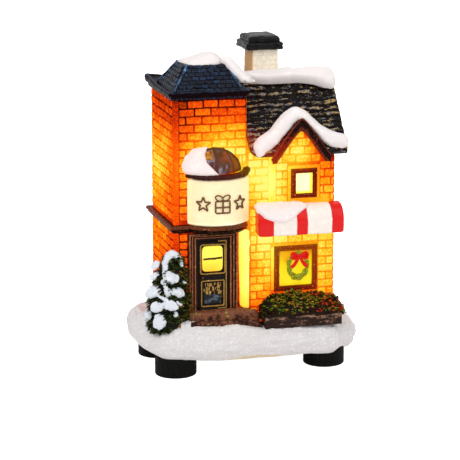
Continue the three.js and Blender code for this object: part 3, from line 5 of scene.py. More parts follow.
import bpy
import numpy as np
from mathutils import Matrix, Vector


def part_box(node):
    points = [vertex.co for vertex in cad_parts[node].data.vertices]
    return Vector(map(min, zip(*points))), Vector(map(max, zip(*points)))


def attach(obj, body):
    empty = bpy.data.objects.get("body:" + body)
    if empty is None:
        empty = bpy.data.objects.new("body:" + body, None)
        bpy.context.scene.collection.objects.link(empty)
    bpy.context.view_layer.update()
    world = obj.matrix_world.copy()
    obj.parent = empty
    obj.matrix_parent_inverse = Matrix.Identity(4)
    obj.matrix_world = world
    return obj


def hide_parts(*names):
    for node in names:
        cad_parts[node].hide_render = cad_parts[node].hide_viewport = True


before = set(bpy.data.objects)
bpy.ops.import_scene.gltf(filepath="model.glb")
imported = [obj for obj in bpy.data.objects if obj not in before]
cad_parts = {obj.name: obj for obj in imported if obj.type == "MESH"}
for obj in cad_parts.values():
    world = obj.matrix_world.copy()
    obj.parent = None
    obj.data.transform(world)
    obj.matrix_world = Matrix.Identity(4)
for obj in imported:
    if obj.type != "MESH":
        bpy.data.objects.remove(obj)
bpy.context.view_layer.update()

# The view of the photograph: a long lens, left of the front and a little above, over a pale floor
# under a white sky, with a large soft lamp on each side.
VIEW_AZIMUTH = math.radians(15.3)
VIEW_ELEVATION = math.radians(13.0)
VIEW_DISTANCE = 0.650
VIEW_TARGET = Vector((-0.00329, 0.0, 0.04033))
VIEW_LENS = 168.0
SENSOR = 36.0


def aimed(name, data, azimuth, elevation, distance):
    """Puts a camera or lamp on a sphere round the target, looking at the target."""
    made = bpy.data.objects.new(name, data)
    bpy.context.scene.collection.objects.link(made)
    flat = math.cos(elevation)
    away = Vector((-math.sin(azimuth) * flat, -math.cos(azimuth) * flat, math.sin(elevation)))
    made.location = VIEW_TARGET + away * distance
    made.rotation_euler = (-away).to_track_quat("-Z", "Y").to_euler()
    return made


camera_data = bpy.data.cameras.new("photo_camera")
camera_data.lens = VIEW_LENS
camera_data.sensor_width = SENSOR
camera_data.clip_start = 0.01
bpy.context.scene.camera = aimed("photo_camera", camera_data, VIEW_AZIMUTH, VIEW_ELEVATION, VIEW_DISTANCE)
bpy.context.scene.view_settings.view_transform = "Standard"

for lamp_name, azimuth, elevation, watts in (
    ("soft_box_left", 50, 48, 1.3), ("soft_box_right", -40, 38, 0.74), ("soft_box_back", 190, 55, 0.5),
):
    lamp = bpy.data.lights.new(lamp_name, "AREA")
    lamp.shape = "DISK"
    lamp.size = 0.5
    lamp.energy = watts
    aimed(lamp_name, lamp, math.radians(azimuth), math.radians(elevation), 0.6)


def node(tree, kind, inputs=(), **settings):
    """Adds a shader node. Each input is a value, or a socket to link from."""
    made = tree.nodes.new("ShaderNode" + kind)
    for key, value in settings.items():
        setattr(made, key, value)
    for key, value in dict(inputs).items():
        if isinstance(value, bpy.types.NodeSocket):
            tree.links.new(value, made.inputs[key])
        else:
            made.inputs[key].default_value = value
    return made


def calc(tree, operation, *values):
    """What a maths node makes of the values."""
    return node(tree, "Math", dict(enumerate(values)), operation=operation).outputs[0]


def remap(tree, value, low, high, to_low=0.0, to_high=1.0, **settings):
    """A value carried from one span to another, and held at the ends."""
    spans = {"Value": value, "From Min": low, "From Max": high, "To Min": to_low, "To Max": to_high}
    return node(tree, "MapRange", spans, **settings).outputs[0]


def mixed(tree, share, first, second, **settings):
    """The first colour where share is 0 and the second where it is 1."""
    return node(tree, "Mix", {0: share, 6: first, 7: second}, data_type="RGBA", **settings).outputs[2]


def painted(name, **values):
    """A new material, its node tree and its shader, with these values on the shader's own sockets."""
    made = bpy.data.materials.new(name)
    made.use_nodes = True
    shader = made.node_tree.nodes["Principled BSDF"]
    for socket, value in values.items():
        shader.inputs[socket.replace("_", " ")].default_value = value
    return made, made.node_tree, shader


def drive(tree, shader, **sources):
    """Links each source to the shader's socket of that name."""
    for socket, source in sources.items():
        tree.links.new(source, shader.inputs[socket.replace("_", " ")])


def ink(code, alpha=1.0):
    """A colour given as rrggbb in hex, as the linear values that shaders take."""
    channels = [int(code[i:i + 2], 16) / 255 for i in (0, 2, 4)]
    linear = [c / 12.92 if c <= 0.04045 else ((c + 0.055) / 1.055) ** 2.4 for c in channels]
    return (*linear, alpha)


SKY_SEEN, SKY_LIGHT = 1.0, 0.62
sky = bpy.data.worlds.new("white_sky")
sky.use_nodes = True
sky_paint = sky.node_tree.nodes["Background"]
sky_paint.inputs["Color"].default_value = ink("ffffff")
sky_seen = node(sky.node_tree, "LightPath").outputs["Is Camera Ray"]
drive(sky.node_tree, sky_paint, Strength=remap(sky.node_tree, sky_seen, 0.0, 1.0, SKY_LIGHT, SKY_SEEN))
bpy.context.scene.world = sky

FLOOR_HALF, FLOOR_LIGHT = 3.0, 0.1
floor_mesh = bpy.data.meshes.new("floor")
floor_corners = [(x * FLOOR_HALF, y * FLOOR_HALF, 0) for x, y in ((-1, -1), (1, -1), (1, 1), (-1, 1))]
floor_mesh.from_pydata(floor_corners, [], [(0, 1, 2, 3)])
floor = bpy.data.objects.new("floor", floor_mesh)
bpy.context.scene.collection.objects.link(floor)
floor_paint, tree, shader = painted("pale_floor", Base_Color=ink("f6f6f6"), Roughness=0.9,
                                    Emission_Color=ink("ffffff"))
floor_seen = node(tree, "LightPath").outputs["Is Camera Ray"]
# From below the floor is clear, so that the underside can be looked at.
floor_below = node(tree, "NewGeometry").outputs["Backfacing"]
drive(tree, shader, Emission_Strength=remap(tree, floor_seen, 0.0, 1.0, FLOOR_LIGHT, SKY_SEEN),
      Alpha=calc(tree, "SUBTRACT", 1.0, floor_below))
floor_mesh.materials.append(floor_paint)

# Four bumper feet: turned discs of black rubber with a rounded edge and a shallow dish below,
# pressed onto the underside of the base. Their matt skin shows faint rings from the mould.


def gather(*axes):
    """Points from their coordinates, each given in any shape that spreads over the others."""
    return np.stack(np.broadcast_arrays(*axes), -1)


def with_raised(points, raised):
    """The points with a last column: how raised, bright or bare each is, from 0 to 1."""
    return points if raised is None else gather(*np.moveaxis(points, -1, 0), raised)


def form(points, raised=None, loop=True, ring=False):
    """A closed body over a grid of points, rows by columns. With loop, the last column meets the first.
    The first and last rows meet with ring, and close on their middle without."""
    points = with_raised(points, raised)
    rows, columns = points.shape[:2]
    index = np.arange(rows * columns).reshape(rows, columns)
    if ring:
        index = np.vstack([index, index[:1]])
    if loop:
        index = np.hstack([index, index[:, :1]])
    quads = np.stack([index[:-1, :-1], index[:-1, 1:], index[1:, 1:], index[1:, :-1]], -1).reshape(-1, 4)
    vertices = points.reshape(rows * columns, -1)
    faces = quads.tolist()
    if not ring:
        first = len(vertices)
        vertices = np.vstack([vertices, points[0].mean(0), points[-1].mean(0)])
        low, high = index[0], index[-1]
        faces += gather(low[1:], low[:-1], first).tolist()
        faces += gather(high[:-1], high[1:], first + 1).tolist()
    return vertices, faces


def outward(vertices, faces):
    """Turns all faces over where the volume that they enclose comes out negative."""
    fans = np.array([(f[0], f[i], f[i + 1]) for f in faces for i in range(1, len(f) - 1)])
    a, b, c = (vertices[fans[:, i], :3] for i in range(3))
    if np.einsum("ij,ij->i", a, np.cross(b, c)).sum() < 0:
        return [face[::-1] for face in faces]
    return faces


def piece(name, forms, finish, stands_for=(), body="house", sharp=40):
    """One named piece from closed forms in millimetres, with its finish, the CAD nodes
    that it stands for, and the body it rides on. Where points have a fourth column, it goes to the
    mesh as how raised, bright or bare a point is, from 0 to 1."""
    vertices, faces = [], []
    count = 0
    for points, sides in forms:
        sides = outward(points, sides)
        faces += [[i + count for i in side] for side in sides] if count else sides
        vertices.append(points)
        count += len(points)
    vertices = np.vstack(vertices)
    mesh = bpy.data.meshes.new(name)
    mesh.from_pydata((vertices[:, :3] / 1000).tolist(), [], faces)
    mesh.shade_smooth()
    mesh.set_sharp_from_angle(angle=math.radians(sharp))
    if vertices.shape[1] > 3:
        raised = mesh.attributes.new("raised", "FLOAT", "POINT")
        raised.data.foreach_set("value", vertices[:, 3].astype(np.float32))
    mesh.materials.append(finish)
    made = bpy.data.objects.new(name, mesh)
    bpy.context.scene.collection.objects.link(made)
    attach(made, body)
    if stands_for:
        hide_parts(*stands_for)
    return made


class Box:
    """The space that a CAD node fills, in millimetres: its two corners, its middle and its six sides."""

    def __init__(self, name):
        self.low, self.high = (np.array(corner) * 1000 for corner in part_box(name))
        self.middle = (self.low + self.high) / 2
        self.left, self.front, self.foot = self.low
        self.right, self.back, self.top = self.high


def round_turn(count):
    """Angles evenly spread over one whole turn."""
    return np.linspace(0, 2 * np.pi, count, endpoint=False)


def turned(profile, centre, sides=72):
    """A profile of (radius, height) carried round a vertical axis through centre."""
    angle = round_turn(sides)
    radius, height = np.asarray(profile, float).T[..., None]
    return gather(radius * np.cos(angle), radius * np.sin(angle), height) + centre


def squared(turn, power):
    """Cosine and sine of a turn, swelled from a circle towards a rounded box as power falls below 1."""
    return [np.sign(wave) * np.abs(wave) ** power for wave in (np.cos(turn), np.sin(turn))]


def stacked(plans, heights):
    """Outlines in plan, each carried to its height, as a grid."""
    return np.stack([gather(*np.transpose(plan), height) for plan, height in zip(plans, heights)])


def resampled(rows, count):
    """The same profile with count rows, spread evenly over its stations."""
    rows = np.asarray(rows, float)
    at = np.linspace(0, len(rows) - 1, count)
    return np.stack([np.interp(at, np.arange(len(rows)), column) for column in rows.T], -1)


def ramp_of(tree, value, stops):
    """A colour ramp over a value, with stops of (position, rrggbb), or evenly spread where they are
    codes alone."""
    if isinstance(stops[0], str):
        stops = [(k / (len(stops) - 1), code) for k, code in enumerate(stops)]
    made = node(tree, "ValToRGB", {"Fac": value})
    made.color_ramp.elements.remove(made.color_ramp.elements[1])
    made.color_ramp.elements[0].position, made.color_ramp.elements[0].color = stops[0][0], ink(stops[0][1])
    for position, code in stops[1:]:
        made.color_ramp.elements.new(position).color = ink(code)
    return made.outputs["Color"]


def group(name, inputs):
    """A shader node group with named inputs, and the sockets they come in by."""
    tree = bpy.data.node_groups.new(name, "ShaderNodeTree")
    for label, value in inputs.items():
        kind = "NodeSocketFloat" if isinstance(value, float) else "NodeSocketColor"
        tree.interface.new_socket(label, in_out="INPUT", socket_type=kind).default_value = value
    return tree, tree.nodes.new("NodeGroupInput").outputs


def put_out(tree, outputs):
    """Names what a group puts out. Only the one named Color is a colour."""
    for label in outputs:
        kind = "NodeSocketColor" if label == "Color" else "NodeSocketFloat"
        tree.interface.new_socket(label, in_out="OUTPUT", socket_type=kind)
    way_out = tree.nodes.new("NodeGroupOutput")
    for label, source in outputs.items():
        tree.links.new(source, way_out.inputs[label])


def use(tree, shared, **values):
    """The outputs of a shared node group with these values or sockets on its inputs."""
    inputs = {label.replace("_", " "): value for label, value in values.items()}
    return node(tree, "Group", inputs, node_tree=shared).outputs


def place_in(tree):
    """Object coordinates, in metres."""
    return node(tree, "TexCoord").outputs["Object"]


def raised_in(tree):
    """The mesh's value of how raised, bright or bare a point is."""
    return node(tree, "Attribute", attribute_name="raised").outputs["Fac"]


def cloud_in(tree, size, detail, roughness):
    """Cloudy noise on Object coordinates. size is in metres."""
    return node(tree, "TexNoise", {"Vector": place_in(tree), "Scale": calc(tree, "DIVIDE", 1.0, size),
                                   "Detail": detail, "Roughness": roughness}).outputs["Fac"]


def relief(tree, height, strength, depth):
    """Bumps that follow a height, as a normal. depth is in millimetres."""
    return node(tree, "Bump", {"Height": height, "Strength": strength, "Distance": depth / 1000}).outputs[0]


# Grain: cloudy noise blends two colours, and its finer octaves give a height.
grain, grain_in = group("grain", {"Color": ink("808080"), "Other": ink("404040"), "Size": 0.001, "Share": 0.5,
                                  "Rough": 0.5, "Spread": 0.1})
grain_cloud = cloud_in(grain, grain_in["Size"], 5.0, 0.65)
grain_from = calc(grain, "SUBTRACT", 0.82, grain_in["Share"])
grain_to = calc(grain, "ADD", grain_from, 0.18)
grain_mask = remap(grain, grain_cloud, grain_from, grain_to, interpolation_type="SMOOTHSTEP")
put_out(grain, {"Color": mixed(grain, grain_mask, grain_in["Color"], grain_in["Other"]),
                "Height": grain_cloud,
                "Roughness": calc(grain, "MULTIPLY_ADD", grain_cloud, grain_in["Spread"], grain_in["Rough"])})


def grain_paint(name, color, other, size=1.0, share=0.5, rough=0.5, spread=0.15, bump=0.2,
                depth=0.1, **values):
    """A material whose two colours, gloss and bumps follow the grain, with its tree, its shader and the
    grain's outputs. size and depth are millimetres."""
    made, tree, shader = painted(name, **values)
    work = use(tree, grain, Color=ink(color), Other=ink(other), Size=size / 1000, Share=share, Rough=rough,
               Spread=spread)
    drive(tree, shader, Base_Color=work["Color"], Roughness=work["Roughness"],
          Normal=relief(tree, work["Height"], bump, depth))
    return made, tree, shader, work


def grained(*looks, **values):
    """The grained material alone."""
    return grain_paint(*looks, **values)[0]


FOOT_EDGE = 0.5
FOOT_DISH = 0.35
foot_rubber = grained("foot_rubber", "0f0c0a", "080706", size=0.9, rough=0.6, bump=0.35, depth=0.12,
                      Specular_IOR_Level=0.12)
for foot in ("foot_front_left", "foot_front_right", "foot_back_left", "foot_back_right"):
    box = Box(foot)
    radius = (box.right - box.left) / 2
    arc = np.linspace(0, np.pi / 2, 6)
    side = np.linspace(box.foot + FOOT_EDGE, box.top - FOOT_EDGE, 13)
    profile = [(0.4 * radius, box.foot + FOOT_DISH), (0.8 * radius, box.foot + FOOT_DISH),
               (0.84 * radius, box.foot)]
    profile += [(radius - FOOT_EDGE * (1 - math.sin(a)),
                 box.foot + FOOT_EDGE * (1 - math.cos(a))) for a in arc]
    profile += [(radius - 0.03 * (i % 2), z) for i, z in enumerate(side[1:-1])]
    profile += [(radius - FOOT_EDGE * (1 - math.cos(a)),
                 box.top - FOOT_EDGE * (1 - math.sin(a))) for a in arc]
    disc = turned(profile, (*box.middle[:2], 0))
    piece(foot.replace("foot", "bumper"), [form(disc)], foot_rubber, [foot])

# The works under and inside the house: a black moulded housing with its sliding lid, three steel
# button cells, two sprung contacts, a slide switch, two screws, and the board with LED and resistor.


def refinish(finish, *names):
    """Gives a finish to CAD nodes that stay in the scene as they are."""
    for name in names:
        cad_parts[name].data.materials.clear()
        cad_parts[name].data.materials.append(finish)


refinish(grained("black_plastic", "17181a", "101113", size=0.7, rough=0.38, bump=0.12, depth=0.05),
         "battery_housing", "battery_lid")
refinish(grained("cell_steel", "c9cbcf", "a3a6ab", size=1.6, rough=0.24, bump=0.05, Metallic=1.0),
         "button_cell_1", "button_cell_2", "button_cell_3")
refinish(grained("plated_steel", "b9bcc0", "8f9296", size=0.6, rough=0.3, bump=0.1, Metallic=1.0),
         "spring_contact", "flat_contact", "switch_can", "housing_screw_1", "housing_screw_2", "led_lead_1",
         "led_lead_2")
refinish(grained("switch_white", "ecebe6", "d8d6cf", size=0.6, rough=0.35), "switch_knob")
refinish(grained("board_green", "2c6b3a", "1f5230", size=0.8, rough=0.4, spread=0.2), "circuit_board")
refinish(grained("led_epoxy", "fff2c8", "ffe49a", size=1.2, rough=0.1, bump=0.02,
                 Emission_Color=ink("ffe9a0"), Emission_Strength=2.0), "led_lens")
refinish(grained("resistor_tan", "c9b184", "a88c5c", size=0.5), "resistor")
for wire, color, other in (("wire_red", "b3202a", "8d161f"), ("wire_black", "141414", "0c0c0c"),
                           ("wire_white", "dedede", "c4c4c4")):
    refinish(grained(wire, color, other, size=0.5, rough=0.4), wire)

# The snowy base: one cast slab with rolled sides, lumpy drifts round the tower and a bare tan
# underside, coated on top with granular white glitter. The housing is let in from below.


def ease(value, low, high):
    """0 below low, 1 above high, and a smooth curve between."""
    s = np.clip((value - low) / (high - low), 0, 1)
    return s * s * (3 - 2 * s)


def rough(points, size, seed=0):
    """Smooth noise from -1 to 1: a value is drawn for each corner of a lattice of that size, and the
    eight round a point are blended by a smooth step along each axis."""
    place = np.asarray(points, float) / size + 500.37
    cell = np.floor(place).astype(np.int64)
    share = place - cell
    share = share * share * (3 - 2 * share)
    total = np.zeros(place.shape[:-1])
    for corner in np.ndindex(2, 2, 2):
        i, j, k = np.moveaxis(cell + np.array(corner), -1, 0)
        drawn = (i * 73856093) ^ (j * 19349663) ^ (k * 83492791) ^ (seed * 50331653)
        drawn = ((drawn ^ (drawn >> 13)) * 1274126177) & 0xFFFFFF
        drawn = (drawn ^ (drawn >> 11)) & 0xFFFF
        total += (drawn / 32767.5 - 1) * np.prod(np.where(corner, share, 1 - share), axis=-1)
    return total


def lumps(points, size, octaves=3, seed=0):
    """Noise summed over octaves, each half the size and half the height of the one before."""
    return sum(rough(points, size / 2 ** k, seed + k) / 2 ** k for k in range(octaves))


def normals_of(points, loop=True):
    """Unit normals of a grid, from the differences of its neighbours along rows and columns."""
    along = np.gradient(points, axis=0)
    if loop:
        across = (np.roll(points, -1, 1) - np.roll(points, 1, 1)) / 2
    else:
        across = np.gradient(points, axis=1)
    normal = np.cross(across, along)
    return normal / np.maximum(np.linalg.norm(normal, axis=-1, keepdims=True), 1e-9)


BASE_POWER = 0.7
BASE_ROWS, BASE_SIDES = 190, 510
SLAB_PLAY, LID_PLAY = 0.35, 0.6
slab = Box("snow_base")
tower = Box("tower_lower_walls")
house = Box("house_walls")

# Stations of the base's section: how far in from the outline, and how high, from the underside up.
base_stations = (
    (12.5, 6.9), (9.0, 6.9), (8.9, 6.1), (7.0, 6.0), (4.8, 5.95), (3.2, 5.6), (1.7, 5.75),
    (0.6, 7.0), (0.05, 9.2),
    (0.3, 11.1), (1.4, 12.7), (3.2, 13.75), (5.4, 14.1), (8.0, 14.15), (11.0, 14.05),
    (14.0, 14.0), (19.0, 13.9))
step = np.linspace(0, len(base_stations) - 1, BASE_ROWS)[:, None]
inset, level = resampled(base_stations, BASE_ROWS).T[..., None]
turn = round_turn(BASE_SIDES)
outline_lump = 1 - 0.028 * np.sin(2 * turn) ** 2 * (1 + np.cos(9 * turn))
out_x, out_y = squared(turn, BASE_POWER - 0.08 * (np.cos(turn) > 0) * (np.sin(turn) < 0))
base = gather((slab.right - SLAB_PLAY - inset) * outline_lump * out_x,
              (slab.back - SLAB_PLAY - inset) * outline_lump * out_y, level)
x, y, _ = np.moveaxis(base.copy(), -1, 0)
drift = np.maximum(ease(-x, 17, 27), 0.6 * ease(y, 8, 16)) * ease(y, -9, 1)
heaped = np.clip((-x - 22) / 13, 0, 1) ** 1.5 * ease(y, -20, -5)
banked = (ease(-x, -2, 6) + 1.15 * np.exp(-((x + 22) / 5) ** 2)) * ease(y, -21.4, -18.4) * (y < -5)
hanging = ease(x, 13, 26) * ease(-y, 0, 12)
base[..., 2] += 1.6 * drift * ease(step, 8, 13)
base[..., 2] += heaped * (2.6 * ease(step, 2.5, 6) + 1.6 * ease(level, 6.3, 9.6))
base[..., 2] += 1.8 * banked * ease(step, 8, 10.5) - hanging * ease(step, 2.5, 5.5) * (1 - ease(step, 8, 11))
flow = normals_of(base)
swell = 0.30 * lumps(base * (1, 1, 1.6), 9.0, 2, seed=3) + 0.34 * lumps(base * (1, 1, 1.5), 2.8, 3, seed=5)
swell = (swell + 0.1 * lumps(base, 0.8, 2, seed=8)) * ease(step, 5, 8) * (1 - ease(step, 15, 16))
outer = np.sign((flow * (base - (0, 0, 10))).sum(-1).mean())
base = base + outer * flow * swell[..., None]
# The underside stays clear of the way that the sliding lid takes to the back.
lid = Box("battery_lid")
lid_way = (base[..., 0] > lid.left - LID_PLAY) & (base[..., 0] < lid.right + LID_PLAY) & (base[..., 1] > 0)
base[..., 2] = np.maximum(base[..., 2], np.where(lid_way, lid.top + 0.15, 4.8))
base[..., :2] = np.clip(base[..., :2], 0.01 - slab.high[:2], slab.high[:2] - 0.01)
bare_to = 5.75 + 2.4 * heaped + 1.3 * np.exp(-((base[..., 0] + 1) / 8) ** 2) - 1.6 * hanging \
    + 0.35 * lumps(base, 3.0, 2, seed=9)
bare = np.maximum(ease(bare_to - base[..., 2], -0.1, 0.35), 1 - ease(step, 3, 4.5)) * (1 - ease(step, 8, 9))

BEADS_PER_METRE = 2300.0
snow_coat, tree, shader = painted("glitter_snow", Specular_IOR_Level=0.3)
coat_grain = use(tree, grain, Color=ink("f3efef"), Other=ink("dedada"), Size=0.0007, Share=0.5)
coat_beads = node(tree, "TexVoronoi", {"Vector": place_in(tree), "Scale": BEADS_PER_METRE}).outputs
coat_glint = node(tree, "SeparateColor", {0: coat_beads["Color"]}).outputs[0]
drive(tree, shader,
      Base_Color=mixed(tree, raised_in(tree), coat_grain["Color"], ink("e2cfac")),
      Roughness=remap(tree, coat_glint, 0.95, 0.97, 0.7, 0.3),
      Normal=relief(tree, coat_beads["Distance"], 0.5, 0.28))
piece("base_snow_slab", [form(base, bare)], snow_coat, ["snow_base"], sharp=180)

# The walls: one translucent casting, thin enough that the lamp inside makes it glow from deep red at
# the far corners to yellow beside the lamp. Bricks are cast in low relief and dry-brushed paler.

# Inner glow: soft round pools of light on Object coordinates add up to a level, and the level looks up
# a colour from the dark red of thick resin to near white. Tone moves the level up or down.
GLOW_FLOOR = 0.13
GLOW_POOLS = (
    ((-4, -13, 65), 12.5, 0.62), ((-13, -12, 66), 9, 0.32), ((-21, -12, 58), 7, 0.14),
    ((-21, -9, 47), 8, 0.16), ((-22, -3, 68), 8, 0.22), ((-22, 8, 61), 13, 0.40),
    ((-22, 9, 38), 15, 0.30), ((4.5, -14, 35), 9, 0.40), ((1, -14, 25), 8, 0.32),
    ((20, -14, 37), 15, 0.62), ((22, -14, 24), 7, 0.24), ((7, -13, 52), 6, 0.18),
    ((2, -13, 44), 7, 0.5), ((15, -14, 66), 4, 0.12), ((5, -12, 58), 7, 0.62),
    ((14, -14, 67), 6.5, 0.60), ((22, -14, 56), 8, 0.28), ((26, 3, 48), 13, 0.45),
    ((8, 15, 44), 17, 0.45), ((-12, 16, 60), 16, 0.40))
GLOW_STOPS = ((0.0, "1e0402"), (0.05, "5a0e03"), (0.1, "8e1a05"), (0.16, "c02806"), (0.26, "ea3e06"),
              (0.38, "f86008"), (0.5, "fa820a"), (0.6, "fba010"), (0.7, "fcbc22"), (0.8, "fcd638"),
              (0.9, "fdec50"), (1.0, "fff87a"))
glow, glow_in = group("inner_glow", {"Tone": 0.0})
glow_place = place_in(glow)
level = calc(glow, "ADD", GLOW_FLOOR, glow_in["Tone"])
for centre, radius, amount in GLOW_POOLS:
    reach = node(glow, "VectorMath", {0: glow_place, 1: Vector(centre) / 1000},
                 operation="DISTANCE").outputs["Value"]
    share = calc(glow, "DIVIDE", reach, radius / 1000)
    fade = calc(glow, "POWER", math.exp(-1), calc(glow, "MULTIPLY", share, share))
    level = calc(glow, "MULTIPLY_ADD", fade, amount, level)
put_out(glow, {"Color": ramp_of(glow, level, GLOW_STOPS)})


def lit(name, color, other, tone=0.0, own=0.0, strength=1.0, cloud=0.06, size=1.2, gloss=0.0, **kinds):
    """A grained material that also glows from inside. tone shifts the glow, own is how far the
    piece's raised value shifts it, and cloud how far the grain does."""
    made, tree, shader, work = grain_paint(name, color, other, size=size, Specular_IOR_Level=gloss,
                                           Emission_Strength=strength, **kinds)
    shift = calc(tree, "MULTIPLY_ADD", raised_in(tree), own, tone - cloud / 2)
    shift = calc(tree, "MULTIPLY_ADD", work["Height"], cloud, shift)
    drive(tree, shader, Emission_Color=use(tree, glow, Tone=shift)["Color"])
    return made


mortar = lit("lit_mortar", "4a1402", "300a02", tone=-0.21, cloud=0.5, rough=0.5, bump=0.3, depth=0.15)
brick_face = lit("lit_brick", "7c3a06", "5c2404", tone=-0.07, own=0.2, cloud=1.0, size=0.6,
                 rough=0.42, bump=0.8, depth=0.16)
refinish(mortar, "tower_lower_walls", "tower_upper_walls", "house_walls")

BRICK_PITCH = 2.4
MORTAR = 0.5
BRICK_PROUD = 0.26
CORNER_ROUND = 0.28
SHORTEST_BRICK = 0.9


def slabs(spots, proud, to_place, wobble=0.05, sunk=0.2, seed=0, edge=0.1):
    """Low blocks with rounded corners and edges. spots has rows (middle s, middle t, half s, half t,
    raised); each block is four rounded outlines, stepped inwards and upwards, with its top closed.
    to_place turns (s, t, height) into a place on the piece."""
    spots = np.asarray(spots, float)
    quarters = np.pi / 2 * np.arange(4)[:, None]
    turns = (quarters + np.radians([0, 45, 90])).ravel()
    diagonal = np.repeat(quarters + np.pi / 4, 3)
    corner = np.sign(gather(np.cos(diagonal), np.sin(diagonal)))
    rounding = np.minimum(CORNER_ROUND, 0.9 * spots[:, 2:4].min(1))[:, None, None]
    flat = spots[:, None, :2] + corner * (spots[:, None, 2:4] - rounding)
    steps = ((0.0, -sunk), (0.02, 0.45 * proud), (edge, 0.9 * proud), (2.2 * edge, proud))
    around = gather(np.cos(turns), np.sin(turns))
    layers = np.stack([with_raised(flat + (rounding - inset) * around, height) for inset, height in steps], 1)
    tops = gather(spots[:, None, 0], spots[:, None, 1], proud)
    count, rows, sides = layers.shape[:3]
    local = np.concatenate([layers.reshape(count, -1, 3), tops - (0, 0, proud + sunk), tops], 1)
    place = to_place(*np.moveaxis(local, -1, 0))
    place = place + wobble * np.stack([rough(place, 1.1, seed + axis) for axis in range(3)], -1)
    pattern = form(np.zeros((rows, sides, 3)))[1]
    per = rows * sides + 2
    faces = []
    for corners in (4, 3):
        kind = np.array([face for face in pattern if len(face) == corners])
        faces += (kind + per * np.arange(count)[:, None, None]).reshape(-1, corners).tolist()
    return with_raised(place.reshape(-1, 3), np.repeat(spots[:, 4], per)), faces


def gaps_left(spans, holes, low, high):
    """What is left of the spans where no hole reaches between low and high."""
    for start, end, bottom, top in holes:
        if bottom >= high or top <= low:
            continue
        kept = []
        for a, b in spans:
            kept += [(a, min(b, start)), (max(a, end), b)]
        spans = [(a, b) for a, b in kept if b - a > SHORTEST_BRICK]
    return spans


rng = np.random.default_rng(7)


def courses(start, end, bottom, top, brick, holes=(), roofline=None, pitch=BRICK_PITCH,
            joint=MORTAR, gap=None):
    """Bricks in running bond from the top down, as rows for slabs. roofline(z) gives the span that
    lies under a sloping roof at that height, and gap the width of the upright joints."""
    spots = []
    gap = gap or joint
    for row in range(int((top - bottom) / pitch + 0.5)):
        high = top - row * pitch - joint / 2
        low = max(high - pitch + joint, bottom)
        if high - low < 0.8:
            continue
        spans = [(start, end)]
        if roofline:
            edge_low, edge_high = roofline(high)
            spans = [(max(start, edge_low), min(end, edge_high))]
        for a, b in gaps_left(spans, holes, low, high):
            joints = np.arange(start - brick * (0.5 + 0.5 * (row % 2)), end + brick, brick)
            joints = joints + rng.uniform(-0.3, 0.3, len(joints))
            cuts = np.concatenate([[a], joints[(joints > a + SHORTEST_BRICK) & (joints < b - SHORTEST_BRICK)],
                                   [b]])
            left, right = cuts[:-1] + gap / 2, cuts[1:] - gap / 2
            keep = right - left > SHORTEST_BRICK - MORTAR
            middle = (left + right)[keep] / 2
            half = (right - left)[keep] / 2
            drift = 0.08 * np.sin(0.4 * middle + row)
            spots += gather(middle, (low + high) / 2 + drift, half, (high - low) / 2,
                            rng.uniform(0, 1, len(half))).tolist()
    return spots


def brickwork(to_place, seed, *span, proud=BRICK_PROUD, **bond):
    """Bricks over a span of a wall: start, end, bottom, top and a brick's length, as courses takes them."""
    return slabs(courses(*span, **bond), proud, to_place, seed=seed)


def on_wall(axis, plane, side):
    """Places (s, t, height) on an upright wall: s runs along the axis that the wall follows."""
    def to_place(s, t, height):
        across = plane + side * height
        return np.stack([s, across, t] if axis == "x" else [across, s, t], -1)
    return to_place


sign = Box("bay_sign")
half_dome = Box("bay_dome")
dome_rim = Box("dome_rim")
ledge = Box("tower_cornice")
surround = Box("door_frame")
doorstep = Box("door_step")
tower_walls = Box("tower_upper_walls")
ridge = Box("main_roof")
gable = Box("gable_roof")
upper = Box("upper_window_frame")
lower = Box("lower_window_frame")
canopy = Box("awning")
pilaster = Box("corner_pilaster")
RIDGE_Y = ridge.middle[1]
EAVE = 66.6
ROOF_SLOPE = (ridge.top - EAVE) / (RIDGE_Y - ridge.front)
GABLE_X = gable.middle[0]
GABLE_SLOPE = 1.376
CORNER_STRIP = 1.35
TOWER_BRICK, SIDE_BRICK, HOUSE_BRICK = 4.9, 4.4, 4.3
SIDE_GAP = 1.1
RECESS_RIGHT, RECESS_FRONT = gable.left, -11.2
SURROUND = 0.95


def under_gable(z):
    """The front wall's span under the gable roof and its boards, and all of it below their feet."""
    reach = (gable.top - 2.2 - z) / GABLE_SLOPE
    return (GABLE_X - reach, GABLE_X + reach) if z > 64.6 else (-99, 99)


def under_ridge(z):
    """The end wall's span under the two slopes of the main roof."""
    reach = (ridge.top - 2.6 - z) / ROOF_SLOPE
    return RIDGE_Y - reach, RIDGE_Y + reach


def above_roof(z):
    """The tower's right wall shows only over the main roof's front slope."""
    return -99, RIDGE_Y - (ridge.top - z + 0.6) / ROOF_SLOPE


